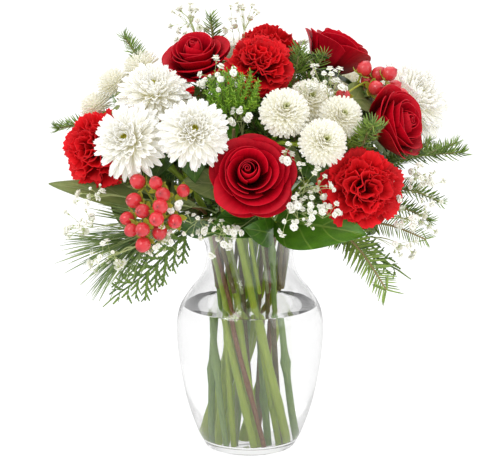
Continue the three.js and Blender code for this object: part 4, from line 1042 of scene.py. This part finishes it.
def lay_berry(heap, start, place, rng):
    """One berry on its stalk, with its sepals folded back."""
    out = (place - start).normalized()
    out = (out + (place - Vector((0, 0, 250))).normalized() * 0.8).normalized()
    foot = place - out * BERRY_RADIUS * 0.95
    bow = start.lerp(foot, 0.5) + UP * 1.5
    heap.stalk(smooth_line([start, bow, foot], 5), [1.0, 0.9, 0.85, 0.85, 0.95, 1.3], 6, finish=1)
    size = BERRY_RADIUS * rng.uniform(0.9, 1.06)
    heap.lay(BERRY, turned_to(place, out, UP, size), rng.uniform(0.1, 0.9))
    for k in range(5):
        side = round_axis(out, k * TURN / 5 + rng.uniform(-0.2, 0.2))
        heap.lay(BERRY_SEPAL, turned_to(foot + side * 0.8, side + out * 0.3, out, rng.uniform(0.85, 1.15)), 0.6, 1)


def berry_spray(heap, m, rng):
    middle = Vector(m["at"])
    up = (middle - Vector(m["root"])).normalized()
    line = stem_line(m, middle, up)
    heap.lay(knotted(line, m["thick"], 1.4, 5, 0.5, rng, 8)[0], tone=0.3, finish=2)
    for place in BERRY_PLACES[m["name"]]:
        lay_berry(heap, line[-1].lerp(line[-3], rng.uniform(0.05, 0.9)), Vector(place), rng)
    for i in range(7):
        out = polar(1, i * 1.9 + m["seed"], 0.1) + Vector((0, -0.5, 0))
        start = line[-2].lerp(line[-5], i / 7)
        leaf = turned_to(start, out + up * 0.4, UP - Vector((0, 1, 0)), rng.uniform(0.75, 1.05))
        heap.lay(SMALL_LEAF, leaf, 0.5, 3)


# %% [markdown]
# ## Leaves
# The broad leaves are salal: leathery, dark and glossy, with a pale midrib and side veins that sweep to the
# tip. The leaves on the left and among the berries are soft and olive green. The veins are drawn from the
# leaf's own UV, and stand out a little as bump.


# %% Leaf finish
def leaf_finish(name, light, dark, rib, vein_pairs, **sockets):
    """A leaf: cloudy green, with a midrib, side veins that sweep to the tip, and a faint net between them."""
    made, tree, shader, uv, tone = patterned(name, sockets)
    across = add(tree, "SeparateXYZ", [uv])
    side = add(tree, "Math", [across, 0.5], operation="SUBTRACT")
    side = add(tree, "Math", [side], operation="ABSOLUTE")
    swept = add(tree, "Math", [side, -0.55, across.node.outputs[1]], operation="MULTIPLY_ADD")
    along = add(tree, "Math", [swept, float(vein_pairs)], operation="MULTIPLY")
    teeth = add(tree, "Math", [along, 1.0], operation="PINGPONG")
    vein = add(tree, "MapRange", {"Value": teeth, "From Min": 0.12, "From Max": 0.0})
    midrib = add(tree, "MapRange", {"Value": side, "From Min": 0.035, "From Max": 0.01})
    net = add(tree, "TexVoronoi", {"Vector": uv, "Scale": 34.0}, out="Distance", feature="DISTANCE_TO_EDGE")
    mesh = add(tree, "MapRange", {"Value": net, "From Min": 0.06, "From Max": 0.0, "To Max": 0.25})
    fine = add(tree, "Math", [vein, mesh], operation="MAXIMUM")
    lines = add(tree, "Math", [fine, midrib], operation="MAXIMUM")
    cloud = add(tree, "TexNoise", {"Vector": uv, "Scale": 5.0, "Detail": 3.0}, out="Fac")
    body = toned_ramp(tree, tone, cloud, dark, light)
    part = add(tree, "Math", [lines, 0.34], operation="MULTIPLY")
    mixed = add(tree, "Mix", {"Factor": part, 6: body, 7: linear(rib)}, out=2, data_type="RGBA")
    dress(tree, shader, mixed, lines, 0.35, 0.0005, invert=True)
    return made


SALAL = leaf_finish("glossy salal leaf", "#4a7c12", "#1f4406", "#9cb656", 7, Roughness=0.34, Coat_Weight=0.15)
OLIVE = leaf_finish("olive soft leaf", "#8a9856", "#52642f", "#b9c18a", 9, Roughness=0.5)


# %% Leafy branches
LEAF_STALK = 3


def leaf_branch(heap, m, rng):
    root = Vector(m["root"])
    first = (Vector(m["leaves"][0][0]) - root).normalized()
    line = stem_line(m, root, first, 12)
    heap.lay(knotted(line, m["thick"], 1.3, 4, 0.4, rng, 8)[0], tone=0.4)
    for i, (tip, half, arch, face) in enumerate(m["leaves"]):
        foot = line[-1 - 4 * i]
        along = Vector(tip) - foot
        leaf = leaf_sheet(along.length - LEAF_STALK, half, arch, thick=0.7, across=12, along=26, wave=0.06, fold=0.16,
                          phase=rng.uniform(0, 6))
        finish = 2 if m["name"] == "leaves_left" else 1
        start = foot + along.normalized() * LEAF_STALK
        heap.lay(leaf, turned_to(start, along, face), rng.uniform(0.5, 0.9), finish)
        heap.stalk([foot, foot + along.normalized() * 5], [1.3, 1.0], 6)


lay_all(LEAF_BRANCHES, 140, leaf_branch, "_on_branch", [STEM_GREEN, SALAL, OLIVE], "leaf", 60)
lay_all(BERRY_SPRAYS, 150, berry_spray, "_and_stalks", [BERRY_SKIN, SEPAL_GREEN, STEM_BROWN, OLIVE], "berry")

# %% [markdown]
# ## Baby's breath
# Clouds of tiny double blossoms on hair-thin forked stalks. A blossom is from 2 to 7 mm across and repeats some
# hundreds of times, so it is twelve small wedges of four faces each, in two rounds, which read as ragged petals.


# %% One blossom
def ragged_floret():
    """A double blossom that grows along +Y, 1 mm in radius: a low round of seven wedges, and five above it."""
    rng = random.Random(7)
    points, corners, uv = [], [], []
    for k in range(12):
        low = k < 7
        bearing = (k / 7 if low else k / 5 + 0.07) * TURN + rng.uniform(-0.15, 0.15)
        rise = rng.uniform(0.0, 0.3) if low else rng.uniform(0.75, 1.1)
        out = Vector((math.cos(rise) * math.cos(bearing), math.sin(rise), math.cos(rise) * math.sin(bearing)))
        side = Vector((-math.sin(bearing), 0, math.cos(bearing)))
        over = out.cross(side)
        if over.y < 0:
            over.negate()
        wide = rng.uniform(0.4, 0.52)
        wedge = [out * -0.1, out * rng.uniform(0.9, 1.05) - side * wide, out * rng.uniform(0.9, 1.05) + side * wide,
                 out * 0.62 + over * 0.34]
        middle = sum(wedge, Vector()) / 4
        first = len(points)
        points += wedge
        for a, b, c in ((0, 1, 2), (0, 2, 3), (0, 3, 1), (1, 3, 2)):
            normal = (wedge[b] - wedge[a]).cross(wedge[c] - wedge[a])
            if normal.dot(wedge[a] - middle) < 0:
                b, c = c, b
            corners += [first + a, first + b, first + c]
            uv += [(0.5, 0.2 if corner == 0 else 1.0) for corner in (a, b, c)]
    return Form(np.array(points), np.array(corners), np.full(len(corners) // 3, 3), np.array(uv))


FLORET = ragged_floret()
print("blossom faces", len(FLORET.sizes))


# %% Clouds of blossoms
CLOUD_BLOSSOMS = 18
CLOUD_REACH = 19


def lay_cloud(heap, start, middle, rng, count, reach):
    """A forked cloud of blossoms; most sit near its outside, in ones and twos."""
    forks = []
    for k in range(4):
        side = polar(1, k * TURN / 4 + rng.uniform(-0.5, 0.5), rng.uniform(-0.3, 0.5))
        fork = middle.lerp(start, 0.22) + side * reach * rng.uniform(0.15, 0.4)
        bend = smooth_line([start, start.lerp(fork, 0.55) + UP * 1.5, fork], 5)
        heap.stalk(bend, [0.42, 0.38, 0.35, 0.32, 0.29, 0.27], 4, finish=1)
        forks.append(fork)
    for i in range(count):
        height = rng.uniform(-0.75, 1)
        out = polar(math.sqrt(1 - height * height), i * GOLDEN + rng.uniform(-0.4, 0.4), height)
        place = middle + out * reach * rng.uniform(0.4, 1.0)
        fork = min(forks, key=lambda f: (f - place).length)
        lean = (place - fork).normalized()
        heap.stalk([fork, fork.lerp(place, 0.5) + UP * 0.8, place], [0.26, 0.21, 0.18], 3, 0.6, 1)
        cup = [place - lean * 1.4, place - lean * 0.4, place + lean * 0.5]
        heap.stalk(cup, [0.3, 0.7, 0.95], 5, 0.7, 1)
        for k in range(rng.choice((1, 1, 1, 2))):
            shift = Vector((rng.uniform(-1, 1), rng.uniform(-1, 1), rng.uniform(-1, 1))) * (3.4 if k else 0)
            size = rng.uniform(2.2, 3.6) if rng.random() < 0.7 else rng.uniform(1.2, 1.9)
            where = turned_to(place + lean * 1.2 + shift, lean + shift * 0.2, UP, size)
            heap.lay(FLORET, where, rng.uniform(0.2, 0.9))


def breath_spray(heap, m, rng):
    clouds = [Vector(c) for c in m["clouds"]]
    line = stem_line(m, clouds[0], (clouds[0] - Vector(m["root"])).normalized(), 12)
    heap.stalk(line, [m["thick"] - 0.7 * i / len(line) for i in range(len(line))], 7, finish=1)
    for k, middle in enumerate(clouds):
        start = line[11].lerp(line[15], k / 3) if k else line[-3]
        fork = middle.lerp(start, 0.45)
        bend = smooth_line([start, start.lerp(fork, 0.5) + UP * 2, fork], 6)
        heap.stalk(bend, [0.7, 0.64, 0.6, 0.55, 0.5, 0.46, 0.42], 5, finish=1)
        lay_cloud(heap, fork, middle, rng, CLOUD_BLOSSOMS, CLOUD_REACH)


lay_all(BREATH_SPRAYS, 160, breath_spray, "_clouds", [BREATH_WHITE, BREATH_STALK], "breath")

# %% [markdown]
# ## Evergreens
# Fir needles are short and flat: they stand up round most twigs, and lie in two flat combs on the low ones at
# the right. Pine needles are long and fine and sweep one way. Cedar carries overlapping scales on flat, forked
# sprays, as cords with shorter twiglets. Each needle, cord or twiglet is made once and laid many times. The
# bright tuft among the heads is a bush of short scaly shoots.


# %% Needles and scales
def needle(width, depth, bend, rings, tip=0.25, sides=4):
    """A needle of length 1 along +Y that bends up towards +Z."""
    line = [(0, i / rings, bend * (i / rings) ** 2) for i in range(rings + 1)]
    form = tube(line, [width * (1 if i < rings else tip) for i in range(rings + 1)], sides)
    bow = bend * form.points[:, 1] ** 2
    form.points[:, 2] = (form.points[:, 2] - bow) * depth / width + bow
    form.uv = form.uv * np.array([15.0, 15.0])
    return form


FIR_NEEDLE = needle(0.07, 0.032, 0.16, 3)
COMB_NEEDLE = needle(0.056, 0.032, 0.12, 3)
PINE_NEEDLE = needle(0.0085, 0.0085, 0.1, 5, 0.3, 3)


def scale_twiglet(rings, thick):
    """A twiglet of length 1: rings that swell and narrow like overlapping scales."""
    line = [(0, i / rings, 0.03 * math.sin(2.5 * i / rings)) for i in range(rings + 1)]
    radii = [thick * (1.0 if i % 2 else 0.62) * (1 - 0.5 * i / rings) for i in range(rings + 1)]
    form = tube(line, radii, 4)
    form.points[:, 2] *= 0.6
    form.uv = form.uv * np.array([9.0, 9.0])
    return form


TWIGLET = scale_twiglet(8, 0.24)
CORD = scale_twiglet(20, 0.09)
TUFT_SCALE = scale_twiglet(4, 0.2)
print("faces of a needle", len(FIR_NEEDLE.sizes), "and of a cord", len(CORD.sizes))


# %% Needled shoots
# The two flat combs of a low twig, which face the front.
COMB = dict(flat=True, spacing=1.9, ring=2, facing=Vector((0.1, -1, 0.25)), form=COMB_NEEDLE)


def needled_shoot(heap, line, length, rng, flat=False, spacing=1.5, ring=3, facing=UP, form=FIR_NEEDLE):
    """Needles round a shoot, lying forward and swept up; the end ones close over the bud."""
    total = sum((b - a).length for a, b in zip(line, line[1:]))
    count = int(total / spacing)
    fine = smooth_line(line, count)
    for i in range(1, count + 1):
        along = (fine[i] - fine[i - 1]).normalized()
        side = along.cross(facing).normalized()
        top = side.cross(along)
        share = i / count
        for k in range(ring):
            turn = (k + (0.5 * (i % 2) if ring > 2 else 0)) / ring * TURN + rng.uniform(-0.35, 0.35)
            out = side * math.cos(turn) + top * (math.sin(turn) * (0.25 if flat else 0.75) + (0.1 if flat else 0.28))
            lean = out.normalized() + along * (0.55 + 0.9 * share ** 6 + rng.uniform(-0.15, 0.2))
            size = length * rng.uniform(0.8, 1.05) * (1 - 0.35 * share ** 3)
            place = turned_to(fine[i] + out.normalized() * 0.6, lean, top + along * 0.2, size)
            heap.lay(form, place, rng.uniform(0.1, 1.0), 1)


def axis_of(m):
    """A twig's root, its tip, and the way from one to the other."""
    root, tip = Vector(m["root"]), Vector(m["tip"])
    return root, tip, (tip - root).normalized()


def fir_line(root, tip):
    middle = root.lerp(tip, 0.5) + UP * (tip - root).length * 0.08
    return smooth_line([root, middle, tip], 12)


def lay_fir(heap, root, tip, needle_length, shoots, rng, combed=False):
    """A fir branch with its side shoots; its bark is finish 0 and its needles finish 1. A combed one lies flat."""
    line = fir_line(root, tip)
    length = (tip - root).length
    end = line[-1] - (line[-1] - line[-2]).normalized() * needle_length * 0.5
    line = line[:-1] + [end]
    heap.stalk(line, [1.5 - 0.9 * i / len(line) for i in range(len(line))], 6)
    if combed:
        needled_shoot(heap, line, needle_length, rng, **COMB)
        return
    needled_shoot(heap, line, needle_length, rng)
    ahead = (tip - root).normalized()
    side = UP.cross(ahead).normalized()
    for i in range(shoots):
        start = line[int((0.15 + 0.6 * i / shoots) * len(line))]
        out = (ahead * 0.95 + side * (1 if i % 2 else -1) + UP * rng.uniform(-0.1, 0.15)).normalized()
        reach = min(42.0, length * (0.42 - 0.18 * i / shoots))
        shoot = [start + out * reach * t + UP * reach * 0.1 * t * t for t in (0, 0.33, 0.66, 1)]
        heap.stalk(shoot, [1.1, 0.9, 0.7, 0.5], 5)
        needled_shoot(heap, shoot, needle_length * 0.82, rng, True)


# %% Fir twigs
def bare_twig(heap, m, rng, direction, end_radius, knots):
    """The bare part of a twig, from its foot in the vase to its root."""
    line = stem_line(m, Vector(m["root"]), direction)
    heap.lay(knotted(line, m["thick"], end_radius, knots, 0.4, rng, 8)[0], tone=0.4)


def fir_twig(heap, m, rng):
    root, tip, _ = axis_of(m)
    bare_twig(heap, m, rng, (fir_line(root, tip)[1] - root).normalized(), 1.6, 6)
    shoots = m["shoots"] * 3 + 1 + int((tip - root).length / 50)
    lay_fir(heap, root, tip, m["needle"], shoots, rng, m["combed"])


lay_all(FIR_TWIGS, 180, fir_twig, "_needles", [TWIG_BARK, FIR_GREEN], "fir", 80)

# %% Pine twig
BUNDLES = 36
IN_BUNDLE = 5


def pine_twig(heap, m, rng):
    root, tip, along = axis_of(m)
    bare_twig(heap, m, rng, along, 1.8, 6)
    heap.stalk([root, root.lerp(tip, 0.5), tip], [1.8, 1.6, 1.2], 8)
    for i in range(BUNDLES):
        foot = root.lerp(tip, 0.1 + 0.9 * i / BUNDLES)
        out = round_axis(along, i * GOLDEN)
        fan = Vector(m["fan"]) + out * rng.uniform(0.25, 0.6) + along * rng.uniform(0.1, 0.5)
        for _ in range(IN_BUNDLE):
            spread = Vector((rng.uniform(-0.16, 0.16), rng.uniform(-0.16, 0.16), rng.uniform(-0.18, 0.12)))
            length = m["needle"] * rng.uniform(0.72, 0.98)
            droop = turned_to(foot, fan.normalized() + spread, -UP * 0.6 + spread * 3, length)
            heap.lay(PINE_NEEDLE, droop, rng.uniform(0.1, 1.0), 1)


lay_all(PINE_TWIGS, 200, pine_twig, "_needles", [TWIG_BARK, PINE_GREEN], "pine", 80)

# %% Cedar fronds
CORD_SPACING = 5.5
TWIGLET_SPACING = 3.2


def lay_cedar(heap, root, tip, reach, plane, rng):
    """A flat cedar spray: beaded cords left and right in turn, each with shorter ones of its own."""
    length = (tip - root).length
    ahead = (tip - root).normalized()
    face = ahead.cross(plane).normalized()
    count = int(length / CORD_SPACING)
    droop = -UP * length * 0.05
    spine = [root.lerp(tip, i / count) + droop * math.sin(math.pi * i / count) for i in range(count + 1)]
    heap.stalk(spine, [1.5 - 0.8 * i / count for i in range(count + 1)], 5, 0.3, 1)
    for i, foot in enumerate(spine[:-1]):
        share = i / count
        hand = 1 if i % 2 else -1
        swell = 0.55 + 0.65 * math.sin(math.pi * min(1, share * 0.8 + 0.2))
        span = reach * swell * (1 - 0.5 * share ** 2) * rng.uniform(0.85, 1.1)
        out = (ahead * 0.85 + plane * hand * 0.75 + face * rng.uniform(-0.12, 0.12)).normalized()
        heap.lay(CORD, turned_to(foot, out, face, span), rng.uniform(0.3, 0.8), 1)
        steps = max(2, int(span / TWIGLET_SPACING))
        for k in range(1, steps):
            lean = out + out.cross(face) * (0.75 if k % 2 else -0.75) + face * rng.uniform(-0.12, 0.12)
            size = (10.5 - 5 * k / steps) * rng.uniform(0.8, 1.15)
            heap.lay(TWIGLET, turned_to(foot + out * span * k / steps, lean, face, size), rng.uniform(0.1, 0.9), 1)
    heap.lay(CORD, turned_to(spine[-1], ahead, face, 14), 0.8, 1)


def cedar_frond(heap, m, rng):
    root, tip, along = axis_of(m)
    plane = along.cross(Vector(m["flat_to"])).normalized()
    bare_twig(heap, m, rng, along, 1.5, 5)
    lay_cedar(heap, root, tip - along * 6, m["reach"] * 0.75, plane, rng)


# %% The bright tuft
TUFT_SHOOTS = 66
TUFT_SPREAD = (27, 15, 24)
BRUSH = 13  # scales on a shoot


def tuft(heap, m, rng):
    """A bush of short shoots, each a brush of bright scales, that fork from one twig."""
    root, tip, along = axis_of(m)
    bare_twig(heap, m, rng, along, 1.5, 5)
    middle = root.lerp(tip, 0.62)
    for i in range(TUFT_SHOOTS):
        height = 1 - 1.5 * (i + 0.5) / TUFT_SHOOTS
        out = polar(math.sqrt(1 - height * height), i * GOLDEN, height)
        end = middle + Vector([o * s for o, s in zip(out, TUFT_SPREAD)]) * rng.uniform(0.72, 1.0)
        start = root.lerp(end, 0.45)
        lean = (end - start).normalized() + UP * 0.1
        stalk = smooth_line([start, start.lerp(end, 0.5), end], 4)
        heap.stalk(stalk, [0.8, 0.7, 0.6, 0.5, 0.4], 4, 0.4, 1)
        for k in range(BRUSH):
            side = lean.orthogonal().normalized()
            side.rotate(Matrix.Rotation(k * GOLDEN, 3, lean))
            foot = end - lean.normalized() * (1 - k / (BRUSH - 1)) * 9
            size = rng.uniform(3.0, 4.6)
            heap.lay(TUFT_SCALE, turned_to(foot, lean + side * 1.5, side, size), rng.uniform(0.0, 1.0), 1)


lay_all(CEDAR_FRONDS[:2], 210, cedar_frond, "_scales", [TWIG_BARK, CEDAR_GREEN], "cedar", 80)
lay_all(CEDAR_FRONDS[2:], 212, tuft, "_tuft", [TWIG_BARK, TUFT_GREEN], "cedar", 80)

# %% [markdown]
# ## Greens between the blooms
# The CAD holds the main twigs; the florist's bunch has many small ones more, which fill the room between the
# heads and hide the stems above the rim. Leaves lie on the bunch like tiles just behind the blooms, and fir,
# cedar and baby's breath come out between them.

# %% Leaves that tile the bunch
BUNCH = Vector((0, -4, 214))


def bunch_point(bearing, rise, share):
    """A point towards the bunch's surface: an upright oval round the heads' middles; rise in radians."""
    flat = Vector((138 * math.cos(bearing), 108 * math.sin(bearing), 0)) * math.cos(rise)
    return BUNCH + (flat + UP * 140 * math.sin(rise)) * share


FILLER_LEAF = leaf_sheet(56, 17, 0.1, along=12, wave=0.07, fold=0.16)
rng = random.Random(300)
heap = Heap()
LEAVES = 96
# Places where the rule leaves a gap through the bunch, or bare stems on its sides and back.
LEAF_GAPS = [
    (96, -26, 302), (104, -20, 290), (112, 4, 300), (-118, -34, 306), (-104, -30, 318), (112, 40, 290), (126, 22, 288),
    (100, 64, 288), (118, 50, 268), (-116, 22, 298), (-100, 50, 300), (-108, 38, 318), (84, 84, 300), (64, 96, 282),
    (20, 100, 262), (-36, 98, 270), (98, -14, 318), (106, -4, 322), (110, -40, 272), (98, -46, 268), (56, -14, 344),
    (48, -2, 350), (70, -8, 338),
]
places = [bunch_point(i * GOLDEN, -0.02 + 1.45 * (i + 0.5) / LEAVES, rng.uniform(0.68, 0.84)) for i in range(LEAVES)]
for i, middle in enumerate(places + [Vector(p) for p in LEAF_GAPS]):
    outward = (middle - BUNCH).normalized()
    along = outward.cross(UP)
    along = along.normalized() if along.length > 0.05 else Vector((1, 0, 0))
    along.rotate(Matrix.Rotation(rng.uniform(0.6, 2.6), 3, outward))
    along = along + outward * rng.uniform(0.1, 0.7)
    along.z = abs(along.z) * 0.3 if middle.z < 262 else along.z
    face = outward + Vector((rng.uniform(-0.4, 0.4), rng.uniform(-0.4, 0.4), rng.uniform(-0.2, 0.4)))
    size = rng.uniform(0.7, 1.05)
    foot = middle - along.normalized() * 26 * size
    heap.lay(FILLER_LEAF, turned_to(foot, along, face, size), rng.uniform(0, 0.8), 0 if i % 4 else 1)
heap.piece("filler_leaves", [SALAL, OLIVE], "leaf", crease=60)

# %% Fir and cedar between the leaves
heap = Heap()
FIRS = 26
# Tips that the photograph shows above the buttons and the upper roses: foot and tip.
FIR_TIPS = [
    ((-82, -4, 318), (-114, -2, 380)), ((-30, 6, 344), (-36, 8, 396)), ((52, -10, 330), (66, -22, 364)),
    ((84, 70, 270), (150, 84, 286)), ((-70, 60, 290), (-130, 84, 304)), ((112, -44, 248), (170, -62, 236)),
    ((104, -52, 236), (160, -74, 222)),
]
for i in range(FIRS):
    rise = 0.1 + 1.25 * (i + 0.5) / FIRS
    bearing = i * GOLDEN + 0.4
    foot = bunch_point(bearing, rise, 0.45)
    lay_fir(heap, foot, bunch_point(bearing + rng.uniform(-0.1, 0.1), rise, rng.uniform(0.94, 1.02)), 13, 2, rng)
heap.piece("filler_fir", [TWIG_BARK, FIR_GREEN], "fir", crease=80)

heap = Heap()
for foot, tip in FIR_TIPS:
    lay_fir(heap, Vector(foot), Vector(tip), 12, 1, rng)
heap.piece("filler_fir_tips", [TWIG_BARK, FIR_GREEN], "fir", crease=80)

heap = Heap()
FRONDS = 16
for i in range(FRONDS):
    bearing = -TURN / 4 + TURN * (0.14 + 0.72 * i / (FRONDS - 1))
    foot = BUNCH + polar(34, bearing, 8)
    tip = BUNCH + polar(92 + 14 * (i % 3), bearing + rng.uniform(-0.15, 0.15), 2 - 14 * (i % 2))
    lay_cedar(heap, foot, tip, 22, (tip - foot).normalized().cross(UP).normalized(), rng)
heap.piece("filler_cedar", [TWIG_BARK, CEDAR_GREEN], "cedar", crease=80)

# %% Baby's breath between the heads: middle, reach and count of each small cloud
FILLER_CLOUDS = [
    ((-50, -112, 228), 15, 9), ((-20, -118, 222), 13, 9), ((46, -122, 246), 14, 9), ((32, -116, 288), 10, 8),
    ((66, -124, 238), 12, 8), ((-8, -96, 318), 11, 8), ((50, -70, 340), 12, 5), ((-134, -98, 250), 14, 8),
    ((118, -92, 250), 14, 9), ((146, -78, 262), 12, 7), ((132, -88, 204), 14, 8), ((-66, -118, 244), 10, 6),
    ((60, 122, 262), 15, 10), ((-10, 118, 250), 15, 10), ((-96, 84, 250), 15, 10), ((110, 60, 262), 15, 10),
    ((6, 92, 330), 14, 9), ((-60, 40, 362), 14, 9), ((60, 66, 356), 13, 9), ((-140, 10, 262), 14, 9),
]
heap = Heap()
for place, reach, count in FILLER_CLOUDS:
    middle = Vector(place)
    inner = BUNCH.lerp(middle, 0.45)
    fork = inner.lerp(middle, 0.6) + UP * 3
    bend = smooth_line([inner, inner.lerp(fork, 0.5) + UP * 2, fork], 5)
    heap.stalk(bend, [0.8, 0.75, 0.7, 0.6, 0.55, 0.5], 5, finish=1)
    lay_cloud(heap, fork, middle, rng, count, reach)
heap.piece("filler_breath", [BREATH_WHITE, BREATH_STALK], "breath", crease=50)

# %% [markdown]
# ## The floor, the light and the camera
# The photograph is a studio picture: white all round, with soft light from the front and above. A sheet of white
# paper that glows a little stands in for the studio's lit table, and three large soft lamps for its boxes.


# %% Studio
def studio_sheet():
    """A pale floor, wide enough to fill every view."""
    bpy.ops.object.select_all(action="DESELECT")
    bpy.ops.mesh.primitive_plane_add(size=24)
    sheet = bpy.context.object
    sheet.name = "studio_floor"
    paper, _, _ = material("white studio paper", Base_Color=linear("#6c6c6c"), Roughness=0.8,
                           Emission_Color=linear("#ffffff"), Emission_Strength=0.94)
    sheet.data.materials.append(paper)


studio_sheet()

# %% Lamps and world
def lamp(name, place, aim, size, power):
    light = bpy.data.lights.new(name, "AREA")
    light.size = size
    light.energy = power
    holder = bpy.data.objects.new(name, light)
    holder.location = place
    holder.rotation_euler = (Vector(aim) - Vector(place)).to_track_quat("-Z", "Y").to_euler()
    bpy.context.collection.objects.link(holder)


lamp("key_box", (-0.9, -1.3, 1.5), (0, 0, 0.25), 0.8, 9)
lamp("fill_box", (1.3, -1.0, 0.9), (0, 0, 0.25), 1.0, 3)
lamp("top_box", (0.1, 0.4, 1.7), (0, 0, 0.2), 1.2, 5)
world = bpy.data.worlds.new("studio")
world.use_nodes = True
world.node_tree.nodes["Background"].inputs["Color"].default_value = (1, 1, 1, 1)
world.node_tree.nodes["Background"].inputs["Strength"].default_value = 1.0
bpy.context.scene.world = world
bpy.context.scene.view_settings.view_transform = "Standard"

# %% Camera: about 1.7 m away, a little above the blooms and looking 12 degrees down
CAMERA_PLACE = (0.0, -1.70, 0.562)
CAMERA_DOWN = 11.98
SENSOR = 36
LENS = 138.4
camera = bpy.data.cameras.new("view")
camera.sensor_width = SENSOR
camera.lens = LENS
holder = bpy.data.objects.new("view", camera)
holder.location = CAMERA_PLACE
holder.rotation_euler = (math.radians(90 - CAMERA_DOWN), 0, 0)
bpy.context.collection.objects.link(holder)
bpy.context.scene.camera = holder
print("camera at", CAMERA_PLACE, "lens", LENS)
